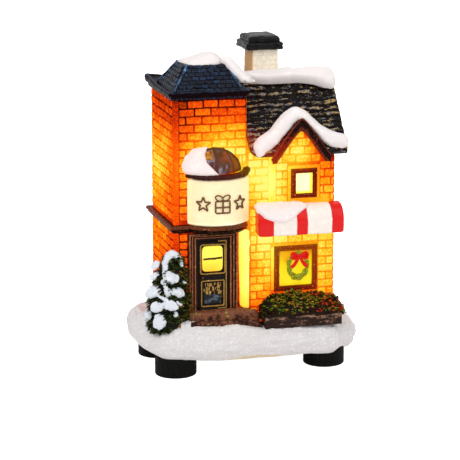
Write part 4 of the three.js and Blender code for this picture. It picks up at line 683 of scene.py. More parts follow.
bay_holes = [(sign.left + 0.8, sign.right + 9, sign.foot, dome_rim.top + 0.4),
             (half_dome.left + 1.6, half_dome.right - 1.6, half_dome.foot, half_dome.foot + 4)]
window_holes = [
    (upper.left - SURROUND, upper.right + SURROUND, upper.foot - 1.9, upper.top + 1.2),
    (lower.left - SURROUND, lower.right + 0.2, lower.foot, lower.top),
    (canopy.left + 0.3, canopy.right, canopy.foot, canopy.top)]
upper_top, upper_bottom = tower_walls.top - 0.1, tower_walls.foot + 0.2
lower_top = ledge.foot - 0.2
front, back = on_wall("x", tower.front, -1), on_wall("x", tower.back, 1)
left_wall = on_wall("y", tower.left, -1)
strip_x, strip_y = tower.left + CORNER_STRIP, tower.front + CORNER_STRIP
piece("tower_bricks_above", [
    brickwork(front, 1, strip_x, tower.right, upper_bottom, upper_top, TOWER_BRICK, bay_holes),
    brickwork(left_wall, 2, strip_y, tower.back + 0.2, upper_bottom, upper_top, SIDE_BRICK, gap=SIDE_GAP),
    brickwork(back, 0, tower.left - 0.2, tower.right, upper_bottom, upper_top, TOWER_BRICK),
    brickwork(on_wall("y", tower.right, 1), 0, tower.front, tower.back, 66, upper_top, TOWER_BRICK, proud=0.2,
              roofline=above_roof)], brick_face)
piece("tower_bricks_below", [
    brickwork(front, 3, strip_x, surround.left, doorstep.foot, lower_top, TOWER_BRICK),
    brickwork(left_wall, 4, strip_y, tower.back + 0.2, tower.foot, lower_top, SIDE_BRICK, gap=SIDE_GAP),
    brickwork(back, 0, tower.left - 0.2, tower.right, tower.foot, lower_top, TOWER_BRICK)],
      brick_face)
house_face = on_wall("x", house.front, -1)
lintel = lower.top + 0.9
piece("house_bricks", [
    brickwork(house_face, 5, house.left + 0.2, house.right, house.foot, lintel, HOUSE_BRICK, window_holes),
    brickwork(house_face, 6, house.left + 0.2, house.right, lintel, canopy.foot - 0.1, 4.7,
              pitch=canopy.foot - lower.top - 1),
    brickwork(house_face, 12, house.left + 0.1, canopy.left + 0.6, canopy.foot, 49.6, HOUSE_BRICK),
    brickwork(house_face, 7, RECESS_RIGHT + 1.3, house.right, canopy.top - 0.4, 75, HOUSE_BRICK, window_holes,
              under_gable),
    brickwork(on_wall("x", RECESS_FRONT, -1), 8, house.left + 0.3, RECESS_RIGHT, 49.8,
              EAVE - 0.4, HOUSE_BRICK),
    brickwork(on_wall("y", house.right, 1), 9, house.front - 0.2, house.back + 0.2, house.foot,
              84, SIDE_BRICK,
              roofline=under_ridge),
    brickwork(on_wall("x", house.back, 1), 10, house.left, house.right + 0.2, house.foot, EAVE - 0.4,
              HOUSE_BRICK)],
      brick_face)


def upright(outline, low, high, steps):
    """A closed outline in x and y, carried up from low to high, with slightly rounded ends."""
    middle = outline.mean(0)
    share = np.ones(steps)
    share[[0, -1]] = 0.8
    return stacked(middle + (outline - middle) * share[:, None, None], np.linspace(low, high, steps))


def bead(corner_x, corner_y, side, reach_x, reach_y, proud, rounding, low, high, seed=0):
    """A plain rounded strip over an outer corner at the front: it laps reach_x over the front face
    and reach_y over the side face, and bulges by proud. side is -1 for a left corner, 1 for a right."""
    turn = np.linspace(0, np.pi / 2, 7)
    outline = [(0.3, reach_y + 0.25), (-0.05, reach_y + 0.2), (-proud, reach_y - 0.1)]
    outline += [(rounding * (1 - math.cos(a)) - proud, rounding * (1 - math.sin(a)) - proud) for a in turn]
    outline += [(reach_x - 0.1, -proud), (reach_x + 0.2, -0.05), (reach_x + 0.25, 0.3), (0.4, 0.4)]
    inwards, back = np.transpose(outline)
    points = upright(gather(corner_x - side * inwards, corner_y + back), low, high, int((high - low) / 0.5))
    return points + 0.07 * gather(rough(points, 1.8, seed), rough(points, 1.8, seed + 1), 0.0)


corner_resin = lit("lit_corner", "662004", "4c1602", tone=-0.03, cloud=0.7, size=0.7, rough=0.4, bump=0.25)
tower_corners = [form(bead(tower.left, tower.front, -1, 1.15, 1.15, 0.24, 0.5, low, high, seed))
                 for low, high, seed in ((tower_walls.foot, tower_walls.top, 1), (tower.foot, tower.top, 2))]
piece("tower_corner_strips", tower_corners, corner_resin)
bright_resin = lit("lit_bright_strip", "a06a24", "804c14", tone=-0.04, cloud=0.5, rough=0.4, bump=0.4)
piece("bay_corner_strip", [form(bead(RECESS_RIGHT, house.front, -1, 1.1, 2.4, 0.26, 0.6, 50, 65.5, 3))],
      bright_resin)

# The dark trim: cornice, roofs, boards and frames are cast with the walls and painted near black,
# then dry-brushed on their edges. Resin that is thin enough lets some of the glow through the paint.

# Dry brush: the high colour sits where a point is raised, with a ragged edge from noise, and flecks of
# a third colour sit on the highest places only.
brush, brush_in = group("dry_brush", {
    "Low": ink("16100e"), "High": ink("5c4436"), "Fleck": ink("b88a2c"), "Raised": 0.5, "Size": 0.0008,
    "Reach": 0.6, "Fleck Size": 0.0009, "Flecks": 0.0})
brush_cloud = cloud_in(brush, brush_in["Size"], 4.0, 0.6)
brush_lift = calc(brush, "SUBTRACT", calc(brush, "MULTIPLY_ADD", brush_cloud, 1.3, brush_in["Raised"]), 0.65)
brush_mask = remap(brush, calc(brush, "SUBTRACT", brush_lift, brush_in["Reach"]), -0.15, 0.25,
                   interpolation_type="SMOOTHSTEP")
fleck_from = calc(brush, "SUBTRACT", 0.78, brush_in["Flecks"])
fleck_over = calc(brush, "SUBTRACT", cloud_in(brush, brush_in["Fleck Size"], 2.0, 0.5), fleck_from)
fleck_mask = calc(brush, "MULTIPLY", remap(brush, fleck_over, 0.0, 0.05), brush_mask)
brush_mix = mixed(brush, brush_mask, brush_in["Low"], brush_in["High"])
put_out(brush, {"Color": mixed(brush, fleck_mask, brush_mix, brush_in["Fleck"]), "Height": brush_cloud})


def brushed(name, low, high, fleck="b88a2c", size=0.8, reach=0.6, fleck_size=0.9, flecks=0.0, rough=0.35,
            bump=0.4, depth=0.12, leak=0.0, leak_tone=0.0, gloss=0.22):
    """A dark painted finish, dry-brushed by the piece's raised value; leak is how strongly the inner
    glow shows through it."""
    made, tree, shader = painted(name, Specular_IOR_Level=gloss, Roughness=rough)
    work = use(tree, brush, Low=ink(low), High=ink(high), Fleck=ink(fleck), Raised=raised_in(tree),
               Size=size / 1000, Reach=reach, Fleck_Size=fleck_size / 1000, Flecks=flecks)
    drive(tree, shader, Base_Color=work["Color"], Normal=relief(tree, work["Height"], bump, depth))
    if leak:
        shift = calc(tree, "MULTIPLY_ADD", work["Height"], 0.5, leak_tone - 0.25)
        drive(tree, shader, Emission_Color=use(tree, glow, Tone=shift)["Color"])
        shader.inputs["Emission Strength"].default_value = leak
    return made


def ruffled(points, height, size=1.2, seed=0, octaves=2, loop=True):
    """Pushes a grid in and out along its normals by smooth lumps."""
    return points + height * normals_of(points, loop) * lumps(points, size, octaves, seed)[..., None]


def plan_path(reach, bulge):
    """The tower's outline in plan at a distance from its walls, with the bay's round bulge in front, as
    points evenly counted on each stretch so that outlines at all distances match."""
    left, right = tower.left - reach, tower.right
    front, back = tower.front - reach, tower.back + reach
    half = math.sqrt(max(bulge ** 2 - (BAY_Y - front) ** 2, 0))
    start = math.atan2(front - BAY_Y, -half)
    end = math.atan2(front - BAY_Y, min(half, right - BAY_X))
    turn = np.linspace(start, end, 110)
    arc = gather(BAY_X + bulge * np.cos(turn), BAY_Y + bulge * np.sin(turn))
    arc[:, 0] = np.minimum(arc[:, 0], right)
    corners = [((left, back), (left, front), 95), ((left, front), (BAY_X - half, front), 16)]
    stretches = [np.linspace(a, b, count, endpoint=False) for a, b, count in corners]
    stretches += [arc, np.linspace((right, front + 0.1), (right, back), 60, endpoint=False),
                  np.linspace((right, back), (left, back), 60, endpoint=False)]
    return np.vstack(stretches)


BAY_X, BAY_Y = sign.middle[0], -7.0
SIGN_RADIUS = BAY_Y - sign.front
CORNICE_REACH = tower.left - ledge.left
CORNICE_RADIUS = BAY_Y - ledge.front
cornice_profile = ((-1.5, 2.5), (0.9, 2.5), (1.45, 2.42), (1.76, 2.1), (1.8, 1.75), (1.62, 1.45), (1.12, 1.3),
                   (1.0, 1.12), (1.2, 0.95), (1.15, 0.7), (0.85, 0.5), (0.62, 0.42), (0.55, 0.15),
                   (0.3, 0.0), (-1.5, 0.0))
profile = resampled(cornice_profile, 44)
cornice = stacked([plan_path(reach, CORNICE_RADIUS - CORNICE_REACH + reach) for reach in profile[:, 0]],
                  ledge.foot + profile[:, 1])
edge_light = np.clip(ease(profile[:, 0], 0.6, 1.7) + 0.4 * ease(profile[:, 1], 2.2, 2.5), 0, 1)
cornice = with_raised(ruffled(cornice, 0.13, 1.5, 11), (0.2 + 0.6 * edge_light)[:, None])
cornice[..., :3][..., 0] = np.minimum(cornice[..., 0], tower.right - 0.02)
dark_trim = brushed("dark_trim", "0c0504", "6a3820", "a06a44", size=0.6, reach=0.62, fleck_size=1.2,
                    flecks=0.12, bump=0.8, depth=0.2, leak=0.25, leak_tone=-0.42, gloss=0.05)
piece("cornice_ledge", [form(cornice)], dark_trim, ["tower_cornice"])

# The plain strip beside the door is the thinnest wall and so the brightest. It narrows downwards and
# its foot is rounded.
column_turn = round_turn(40)
column_rows = np.linspace(0, 1, 90)[:, None]
middle = pilaster.middle + (0.7, 0, 0)
width = (pilaster.right - pilaster.left) / 2 + 0.7
round_foot = np.sqrt(1 - (1 - np.minimum(column_rows / 0.05, 1)) ** 2)
taper = (0.88 + 0.12 * ease(column_rows, 0.0, 0.8)) * round_foot
column_x, column_y = squared(column_turn, 0.55)
bright_strip = gather(middle[0] + width * (1 - taper) * 0.5 + width * taper * column_x,
                      middle[1] + 0.5 * (pilaster.back - pilaster.front) * column_y * (0.35 + 0.65 * taper),
                      pilaster.foot + 0.05 + (pilaster.top - pilaster.foot - 0.1) * column_rows)
bright_strip = ruffled(bright_strip, 0.07, 2.5, 21)
bright_plaster = lit("lit_plaster", "b89850", "9c7838", tone=0.42, cloud=0.14, size=3.0,
                     rough=0.35, bump=0.15)
piece("bright_pilaster", [form(bright_strip)], bright_plaster, ["corner_pilaster"])

# The main roof: two thick slabs with rough wavy layers, black with grey-blue and gold on the lips. The
# front slab is cut round the gable, and its lower left corner is rounded beside the tower.


def quilt(top, bottom, raised=None, under=None):
    """A closed body between two grids of the same size, joined along all four borders."""
    top, bottom = with_raised(top, raised), with_raised(bottom, under)
    rows, columns = top.shape[:2]
    index = np.arange(rows * columns).reshape(rows, columns)
    other = index + rows * columns
    quads = np.stack([index[:-1, :-1], index[:-1, 1:], index[1:, 1:], index[1:, :-1]], -1).reshape(-1, 4)
    below = quads[:, ::-1] + rows * columns
    rim = np.concatenate([index[0, :-1], index[:-1, -1], index[-1, :0:-1], index[:0:-1, 0]])
    rim_other = np.concatenate([other[0, :-1], other[:-1, -1], other[-1, :0:-1], other[:0:-1, 0]])
    side = gather(np.roll(rim, -1), rim, rim_other, np.roll(rim_other, -1))
    faces = np.vstack([quads, below, side]).tolist()
    return np.vstack([top.reshape(rows * columns, -1), bottom.reshape(rows * columns, -1)]), faces


def layered(distance, along, pitch, seed):
    """Height and brightness of rough layers: each one swells down to a lip and drops back at once.
    Its line wavers along the roof, and its lip is chipped at random."""
    flat = gather(along, distance, np.full_like(along, seed))
    waver = 0.5 * rough(flat * (1, 0.25, 1), 5.0, seed) + 0.34 * rough(flat * (1, 0.3, 1), 1.7, seed + 1)
    layer = (distance + waver) / pitch
    number = np.floor(layer)
    part = layer - number
    lip = ease(part, -0.1, 0.72) * (1 - ease(part, 0.86, 1.0))
    chips = lumps(gather(along, number * 7.3, np.full_like(along, seed)), 3.4, 3, seed + 2)
    streaks = rough(flat * (0.5, 1.5, 1) + 0.3 * distance[..., None] * (1, 0, 0), 0.7, seed + 3)
    fine = rough(flat * (0.6, 1.2, 1), 0.36, seed + 4)
    height = lip * (0.42 + 0.3 * chips) + 0.2 * streaks + 0.08 * fine
    bright = np.clip(0.09 + lip * (0.48 + 0.35 * chips) + 0.38 * streaks + 0.4 * fine, 0, 1)
    return height, bright


ROOF_ANGLE = math.atan(ROOF_SLOPE)
ROOF_THICKNESS = 1.5
LAYER_PITCH = 1.95
run = (RIDGE_Y - ridge.front) / math.cos(ROOF_ANGLE)


def roof_slab(side, length, seed, rows=150):
    """One slope of the main roof from the ridge down: side is -1 in front and 1 behind; length is how
    far it runs down at each column."""
    x = np.linspace(ridge.left, ridge.right, len(length))
    distance = np.linspace(0, 1, rows)[:, None] * length
    along = np.broadcast_to(x, distance.shape).copy()
    height, bright = layered(distance, along, LAYER_PITCH, seed)
    height = height - 0.7 * ease(distance, length - 0.7, length)
    ragged = rough(gather(distance, distance * 0, distance * 0), 1.1, seed + 9)
    along += 0.35 * ragged * ease(along, ridge.right - 2.5, ridge.right)
    along = np.minimum(along, ridge.right)
    normal = np.array([0, side * math.sin(ROOF_ANGLE), math.cos(ROOF_ANGLE)])
    middle = gather(along, RIDGE_Y + side * distance * math.cos(ROOF_ANGLE),
                    ridge.top - 0.35 - distance * math.sin(ROOF_ANGLE))
    top = with_raised(middle + height[..., None] * normal, bright)
    deep = ROOF_THICKNESS + 0.2 * rough(middle, 2.0, seed)
    bottom = middle - deep[..., None] * normal
    bottom[0, :, 1] = RIDGE_Y
    return quilt(top, with_raised(bottom, 0.1))


columns = np.linspace(ridge.left, ridge.right, 150)
gable_line = gable.top - 0.9 - GABLE_SLOPE * np.abs(columns - GABLE_X)
down_to_gable = (ridge.top - gable_line) / math.sin(ROOF_ANGLE)
corner = np.clip((ridge.left + 3.4 - columns) / 3.4, 0, 0.999)
down_to_eave = run - 3.4 * (1 - np.sqrt(1 - corner ** 2))
inside_gable = np.abs(columns - GABLE_X) < gable.right - GABLE_X - 0.6
front_length = np.where(inside_gable, np.minimum(down_to_gable, down_to_eave), down_to_eave)
roof_paint = brushed("layered_roof", "040404", "7a8690", "c0922e", size=0.34, reach=0.6, fleck_size=0.8,
                     flecks=0.3, rough=0.24, bump=1.0, depth=0.25, leak=0.25, leak_tone=-0.46, gloss=0.14)
piece("roof_front_slope", [roof_slab(-1, front_length, 31)], roof_paint,
      ["main_roof"], sharp=60)
piece("roof_back_slope", [roof_slab(1, np.full(150, run), 37)], roof_paint, sharp=60)

# The gable roof has the same layers, and a rough rounded edge in front of which the two barge boards
# are set. The boards are moulded: a dark outer board, a groove, and a reddish inner board.


def soft_peak(x, rounding):
    """Distance from the gable's middle, rounded at the peak."""
    return np.sqrt((x - GABLE_X) ** 2 + rounding ** 2) - rounding


gable_half = gable.right - GABLE_X
across = np.linspace(-gable_half, gable_half, 150) + GABLE_X
gable_z = gable.top - 0.3 - GABLE_SLOPE * soft_peak(across, 0.7)
behind_y = RIDGE_Y - (ridge.top - gable_z) / ROOF_SLOPE + 0.8
rows = np.linspace(0, 1, 60)[:, None]
gable_y = gable.front + 0.1 + rows * (behind_y - gable.front)
gable_x = np.broadcast_to(across, gable_y.shape).copy()
tilt = math.atan(GABLE_SLOPE)
height, bright = layered(soft_peak(gable_x, 0.7) / math.cos(tilt), gable_y, LAYER_PITCH, 43)
lean = np.tanh((gable_x - GABLE_X) / 0.7)
normal = gather(lean * math.sin(tilt), np.zeros_like(lean), np.full_like(lean, math.cos(tilt)))
middle = gather(gable_x, gable_y, np.broadcast_to(gable_z, gable_y.shape))
gable_slab = quilt(middle + (0.6 * height)[..., None] * normal, middle - (0, 0, 1.9), bright, 0.1)


def strand(path, thick, deep, side=(0, 1, 0), power=0.8, columns=24, rows=90, tip=0.9, lump=0.1,
           size=1.5, seed=0):
    """A closed rounded band along a path. thick is its half height and deep its half depth along side,
    each given at every path point. Sections are superellipses, and both tips are drawn in."""
    path = np.asarray(path, float)
    run = np.concatenate([[0], np.cumsum(np.linalg.norm(np.diff(path, axis=0), axis=1))])
    at = np.linspace(0, run[-1], rows)
    spread = np.linspace(-1, 1, 9)
    window = np.exp(-2 * spread ** 2)

    def carried(values):
        values = np.broadcast_to(np.asarray(values, float), (len(path),))
        eased = sum(w * np.interp(at + s * run[-1] / (3.4 * len(path)), run, values)
                    for w, s in zip(window, spread))
        return eased / window.sum()

    centre = np.stack([carried(path[:, axis]) for axis in range(3)], -1)
    along = np.gradient(centre, axis=0)
    along /= np.linalg.norm(along, axis=1, keepdims=True)
    side = np.broadcast_to(np.asarray(side, float), along.shape)
    up = np.cross(side, along)
    up /= np.linalg.norm(up, axis=1, keepdims=True)
    up = up * np.sign(up[:, 2].sum() or 1)
    half_thick, half_deep = carried(thick), carried(deep)
    nearness = np.minimum(at, run[-1] - at)
    near_tip = 1 - np.minimum(nearness / (tip * half_thick.mean() + 1e-6), 1)
    drawn = np.sqrt(np.clip(1 - near_tip ** 2, 0.0009, 1))
    turn = round_turn(columns)
    ring_side, ring_up = squared(turn, power)
    points = centre[:, None] + (half_deep * drawn)[:, None, None] * ring_side[None, :, None] * side[:, None] \
        + (half_thick * drawn)[:, None, None] * ring_up[None, :, None] * up[:, None]
    push = lump * lumps(points, size, 3, seed) * np.minimum(drawn, 1)[:, None]
    away = points - centre[:, None]
    away /= np.maximum(np.linalg.norm(away, axis=-1, keepdims=True), 1e-6)
    return points + push[..., None] * away


foot_z = 63.9
foot_reach = (gable.top - foot_z - 0.6) / GABLE_SLOPE
peak_path = [(GABLE_X + foot_reach * f, gable.front + 0.1, gable.top - 0.75 - GABLE_SLOPE * foot_reach
              * abs(f)) for f in (-1, -0.75, -0.5, -0.25, -0.08, 0.08, 0.25, 0.5, 0.75, 1)]
verge = strand(peak_path, 0.72, 0.6, columns=20, rows=260, lump=0.26, size=0.9, seed=47)
verge_light = np.clip(0.35 + 0.4 * rough(verge, 0.8, 48), 0, 1)
piece("gable_slopes", [gable_slab], roof_paint, ["gable_roof"], sharp=60)

barge = Box("barge_board_left")
BOARD_HEIGHT = 4.1
board_section = ((0.0, 0.1, 0.6), (0.04, 0.75, 0.9), (0.13, 0.9, 0.9), (0.17, 0.72, 0.35), (0.24, 0.62, 0.2),
                 (0.36, 0.7, 0.3), (0.5, 0.66, 0.25), (0.56, 0.45, 0.1), (0.62, 0.52, 0.55),
                 (0.78, 0.5, 0.75), (0.94, 0.42, 0.8), (1.0, 0.1, 0.5))
board_paint = brushed("barge_paint", "0c0504", "6a2c18", "a8644a", size=0.6, reach=0.6, fleck_size=1.1,
                      flecks=0.05, rough=0.3, bump=0.6, leak=0.35, leak_tone=-0.42, gloss=0.06)
piece("gable_verge", [form(verge, verge_light)], board_paint)
section = resampled(board_section, 40)
section = np.vstack([section, np.column_stack([np.linspace(1, 0, 8), np.zeros(8), np.full(8, 0.1)])])
for name, side in (("left", -1), ("right", 1)):
    x = GABLE_X + side * np.linspace(barge.right - barge.left, 0.0, 80)
    top_z = barge.top + 0.3 - GABLE_SLOPE * soft_peak(x, 0.9)
    board = gather(x[:, None], barge.back + 0.25 - 1.1 * section[:, 1],
                   np.maximum(top_z[:, None] - BOARD_HEIGHT * section[:, 0], barge.foot))
    board = ruffled(board, 0.06, 0.9, 53, 2)
    board[-1, :, 0] = GABLE_X
    shade = np.broadcast_to(section[:, 2], board.shape[:2])
    piece(f"barge_{name}", [form(board, shade)], board_paint, [f"barge_board_{name}"])

# The tower roof: a thick rounded rim with a gutter behind it, four hips laid with small slates in six
# courses, and a bead brushed blue along each hip.
hip_roof = Box("tower_roof")
RIM_STEP = 2.0
HIP_FOOT = hip_roof.foot + 2.3
HIP_TOP = hip_roof.top + 0.1
PLATEAU = np.array([[-17.8, -5.5], [-6.1, -5.5], [-6.1, 8.4], [-18.6, 3.0]])
left, front, right, back = *(hip_roof.low[:2] + RIM_STEP), *(hip_roof.high[:2] - RIM_STEP)
foot_corners = np.array([[left, front], [right, front], [right, back], [left, back]])


def round_box(corners, reach, rounding, per_side=90):
    """A rectangle with rounded corners in plan, grown by reach, as evenly counted points."""
    (left, front), (right, back) = corners.min(0) - reach + rounding, corners.max(0) + reach - rounding
    centres = np.array([(left, front), (right, front), (right, back), (left, back)])
    quarter = np.linspace(0, np.pi / 2, 9)[:, None] + np.pi
    points = []
    for k, centre in enumerate(centres):
        turn = quarter + k * np.pi / 2
        arc = centre + rounding * np.hstack([np.cos(turn), np.sin(turn)])
        entry = centres[(k + 1) % 4] + rounding * np.hstack([np.cos(turn[-1]), np.sin(turn[-1])])
        points += [arc, np.linspace(arc[-1], entry, per_side, endpoint=False)[1:]]
    return np.vstack(points)


rim_profile = ((-2.2, 2.0, 0.1), (-0.2, 2.05, 0.1), (0.3, 2.1, 0.2), (0.7, 2.35, 0.5), (1.1, 2.65, 0.85),
               (1.55, 2.68, 0.95), (1.9, 2.4, 0.7), (2.0, 1.95, 0.3), (1.95, 1.6, 0.15), (1.7, 1.3, 0.2),
               (1.3, 1.15, 0.15), (1.2, 0.9, 0.6), (1.25, 0.55, 0.8), (1.1, 0.25, 0.6), (0.7, 0.05, 0.3),
               (-0.6, 0.05, 0.1))
profile = resampled(rim_profile, 52)
roof_rim = stacked([round_box(foot_corners, reach, 0.55 + 0.1 * max(reach, 0)) for reach in profile[:, 0]],
                   hip_roof.foot + profile[:, 1])
sway = 1.1 * ease(roof_rim[..., 1], 2, 18) * ease(-roof_rim[..., 0], 14, 25)
roof_rim[..., 2] += sway * ease(profile[:, 1], 1, 2.2)[:, None]
roof_rim = ruffled(roof_rim, 0.13, 1.6, 61)
roof_rim[..., 2] = np.maximum(roof_rim[..., 2], hip_roof.foot)
rim_paint = brushed("rim_paint", "05060a", "2a3244", "5c6a80", size=0.7, reach=0.7, fleck_size=1.0,
                    flecks=0.1, rough=0.28, bump=0.5, leak=0.3, leak_tone=-0.22, gloss=0.02)
piece("tower_roof_rim", [form(roof_rim, profile[:, 2][:, None])], rim_paint, ["tower_roof"])

hip_rows = np.linspace(0, 1, 24)
slope_corners = foot_corners + np.array([[0, 0], [0, 0], [0, 0], [0.2, -6.5]])
hip_plans = slope_corners + hip_rows[:, None, None] * (PLATEAU - slope_corners)
core = stacked([np.vstack([np.linspace(ring[k], ring[(k + 1) % 4], 50, endpoint=False) for k in range(4)])
                for ring in hip_plans], HIP_FOOT - 0.25 + (HIP_TOP - HIP_FOOT) * hip_rows)
SLATE, SLATE_PITCH, SLATE_JOINT = 2.3, 1.36, 0.16
slate_forms = [form(core, 0.0)]
hip_beads = []
for k in range(4):
    foot_a, foot_b = slope_corners[k], slope_corners[(k + 1) % 4]
    top_a, top_b = PLATEAU[k], PLATEAU[(k + 1) % 4]
    length = np.linalg.norm(foot_b - foot_a)
    along = np.append((foot_b - foot_a) / length, 0)
    inward = np.array([-along[1], along[0], 0])
    depth = np.dot(np.append(top_a - foot_a, 0), inward)
    slope = np.array([inward[0] * depth, inward[1] * depth, HIP_TOP - HIP_FOOT])
    rise = np.linalg.norm(slope)
    slope = slope / rise
    out = np.cross(along, slope)
    start = np.append(foot_a, HIP_FOOT)
    begin = np.dot(np.append(top_a - foot_a, 0), along) / rise
    finish = (length - np.dot(np.append(top_b - foot_a, 0), along)) / rise

    def slate_span(t, begin=begin, finish=finish, length=length):
        return begin * t + 0.25, length - finish * t - 0.25

    def on_slope(s, t, height, start=start, along=along, slope=slope, out=out, rise=rise):
        lift = height - 0.18 * ((t / SLATE_PITCH) % 1)
        return start + s[..., None] * along + t[..., None] * slope + lift[..., None] * out

    spots = np.array(courses(-3.0, length + 3.0, 0.0, rise - 0.1, SLATE, roofline=slate_span,
                             pitch=SLATE_PITCH, joint=SLATE_JOINT))
    spots[:, 4] = 0.3 + 0.3 * spots[:, 4]
    slate_forms.append(slabs(spots, 0.34, on_slope, wobble=0.09, seed=70 + k, edge=0.07))
    hip = np.linspace(np.append(foot_a, HIP_FOOT + 0.1), np.append(top_a, HIP_TOP + 0.05), 8)
    bead_rows = strand(hip, 0.42, 0.42, side=along, rows=60, columns=12, lump=0.12, size=0.8, seed=80 + k)
    hip_beads.append(form(bead_rows, 0.55 + 0.4 * rough(bead_rows, 1.5, 84)))
slate_paint = brushed("slate_paint", "0a1020", "28426a", "4a6484", size=0.5, reach=0.6, fleck_size=1.3,
                      flecks=0.08, rough=0.36, bump=0.6, depth=0.18)
bead_paint = brushed("hip_bead_paint", "0c1424", "3e6288", "8fb0c8", size=0.5, reach=0.5, fleck_size=0.8,
                     flecks=0.12, rough=0.36)
piece("tower_slates", slate_forms, slate_paint)
piece("tower_hip_beads", hip_beads, bead_paint)

# The chimney: a cream stack with brick joints scratched faintly into it, tan on its left side (partly warm
# paint, partly painted shade), and a glossy black cap in two steps with a rounded hood.
stack_box = Box("chimney_stack")
cap_box = Box("chimney_cap")
stack_rows = np.linspace(0, 1, 70)
stack_centre = stack_box.middle[:2]
stack_half = (stack_box.high - stack_box.low)[:2] / 2
STACK_TAPER = 0.35
stack = stacked([round_box(stack_centre + np.array([[-1], [1]]) * (stack_half - STACK_TAPER * t), 0, 0.5)
                 for t in stack_rows], stack_box.foot + stack_rows * (stack_box.top - stack_box.foot))
stack = ruffled(stack, 0.05, 1.5, 91)
# The left side is painted tan: partly the paint's own warmer tone, partly painted shade on that side.
side_shade = ease(-(stack[..., 0] - stack_centre[0]), stack_half[0] - 0.9, stack_half[0] - 0.4)
stack_paint, tree, shader = painted("cream_brick")
stack_xyz = node(tree, "SeparateXYZ", {0: place_in(tree)}).outputs
stack_round = calc(tree, "ADD", stack_xyz["X"], stack_xyz["Y"])
stack_plan = node(tree, "CombineXYZ", {"X": stack_round, "Y": stack_xyz["Z"]}).outputs[0]
stack_joints = node(tree, "TexBrick", {
    "Vector": stack_plan, "Scale": 1.0, "Mortar Size": 0.00011, "Mortar Smooth": 0.6, "Brick Width": 0.0036,
    "Row Height": 0.0015}).outputs["Fac"]
stack_grain = use(tree, grain, Color=ink("fdf3e2"), Other=ink("f2e4ca"), Size=0.0011, Share=0.42, Rough=0.5,
                  Spread=0.1)
stack_side = mixed(tree, raised_in(tree), stack_grain["Color"], ink("e6ac68"))
stack_line = calc(tree, "MULTIPLY", stack_joints, 0.32)
stack_rise = calc(tree, "SUBTRACT", stack_grain["Height"], stack_joints)
drive(tree, shader, Base_Color=mixed(tree, stack_line, stack_side, ink("c8a878")),
      Roughness=stack_grain["Roughness"], Normal=relief(tree, stack_rise, 0.5, 0.1))
piece("cream_stack", [form(stack, side_shade)], stack_paint, ["chimney_stack"])

cap_corners = np.array([cap_box.low[:2] + 1.6, cap_box.high[:2] - 1.6])
cap_profile = ((-1.0, 0.0, 0.1), (1.3, 0.0, 0.1), (1.58, 0.2, 0.3), (1.6, 0.8, 0.5), (1.4, 1.0, 0.1),
               (1.5, 1.25, 0.3), (1.6, 1.6, 0.5), (1.45, 2.0, 0.4), (1.0, 2.25, 0.1), (0.7, 2.35, 0.1),
               (0.85, 2.8, 0.4), (0.8, 3.3, 0.5), (0.45, 3.85, 0.6), (-0.2, 4.15, 0.4), (-1.2, 4.28, 0.3),
               (-2.6, 4.3, 0.3))
profile = resampled(cap_profile, 70)
cap = stacked([round_box(cap_corners, reach, 0.45) for reach in profile[:, 0]], cap_box.foot + profile[:, 1])
cap = ruffled(cap, 0.15, 1.6, 93) - (0.5, 0, 0)
cap_paint = brushed("cap_paint", "060505", "2c2420", "5c4c40", size=0.7, reach=0.75, rough=0.24,
                    bump=0.35, gloss=0.2)
piece("chimney_hood", [form(cap, profile[:, 2][:, None])], cap_paint, ["chimney_cap"])

# The bay: a sign board bent round the bay's front with a white rim, a rough black moulding over it, and
# a ribbed half dome whose panels are painted grey-blue, gold and rust, with snow on its left half.
SIGN_HALF = math.radians(64.5)
u = np.linspace(-1, 1, 140)
v = np.linspace(-1, 1, 80)[:, None]
round_v = 1 - 0.055 * (1 - np.sqrt(1 - np.clip((np.abs(v) - 0.8) / 0.2, 0, 1) ** 2))
sign_turn = u * SIGN_HALF * round_v
sign_half_z = (sign.top - sign.foot) / 2
round_u = 1 - 0.09 * (1 - np.sqrt(1 - np.clip((np.abs(u) - 0.93) / 0.07, 0, 1) ** 2))
sign_z = sign.middle[2] + v * sign_half_z * round_u
edge_u = (1 - np.abs(u)) * SIGN_HALF * SIGN_RADIUS
edge_v = (1 - np.abs(v)) * sign_half_z
edge = np.minimum(edge_u, edge_v)
rim_rise = np.exp(-((edge - 0.55) / 0.32) ** 2)
flare = 0.22 * ease(np.abs(u), 0.8, 1.0)
bow = SIGN_RADIUS - 0.35 + flare + 0.3 * rim_rise - 0.5 * ease(-edge, -0.35, 0)
sign_front = gather(BAY_X + bow * np.sin(sign_turn), BAY_Y - bow * np.cos(sign_turn),
                    np.broadcast_to(sign_z, bow.shape))
sign_front = sign_front + 0.05 * lumps(sign_front, 3.0, 2, 95)[..., None]
inner = SIGN_RADIUS - 1.5
sign_back = gather(BAY_X + inner * np.sin(sign_turn), BAY_Y - inner * np.cos(sign_turn),
                   np.broadcast_to(sign_z, bow.shape))
# A band just inside the board's left edge glows a stronger yellow: painted light from the lamp behind.
left_glow_band = np.exp(-((edge_u - 1.5) / 0.5) ** 2) * (u < 0)
sign_shade = np.clip(0.5 + 0.5 * rim_rise - 0.5 * left_glow_band, 0, 1)
# The board glows by emission as painted light from the lamp behind it: yellow where its value is low, greyer
# on the raised white rim, and paler towards its right.
sign_paint, tree, shader = painted("sign_cream", Emission_Strength=0.85)
sign_grain = use(tree, grain, Color=ink("f0e2c6"), Other=ink("e8d6b2"), Size=0.004, Share=0.5, Rough=0.35,
                 Spread=0.1)
sign_glow = ramp_of(tree, raised_in(tree), ("d09c18", "988a58", "948c78"))
sign_across = node(tree, "SeparateXYZ", {0: place_in(tree)}).outputs["X"]
sign_side = remap(tree, sign_across, -0.019, -0.002, 0.0, 0.55)
drive(tree, shader, Base_Color=sign_grain["Color"], Roughness=sign_grain["Roughness"],
      Emission_Color=mixed(tree, sign_side, sign_glow, ink("a8a480")))
piece("sign_board", [quilt(sign_front, sign_back, sign_shade, 0.5)], sign_paint, ["bay_sign"])

MOTIF_Z = sign.middle[2] - 0.6
MOTIF_HALF = 2.3


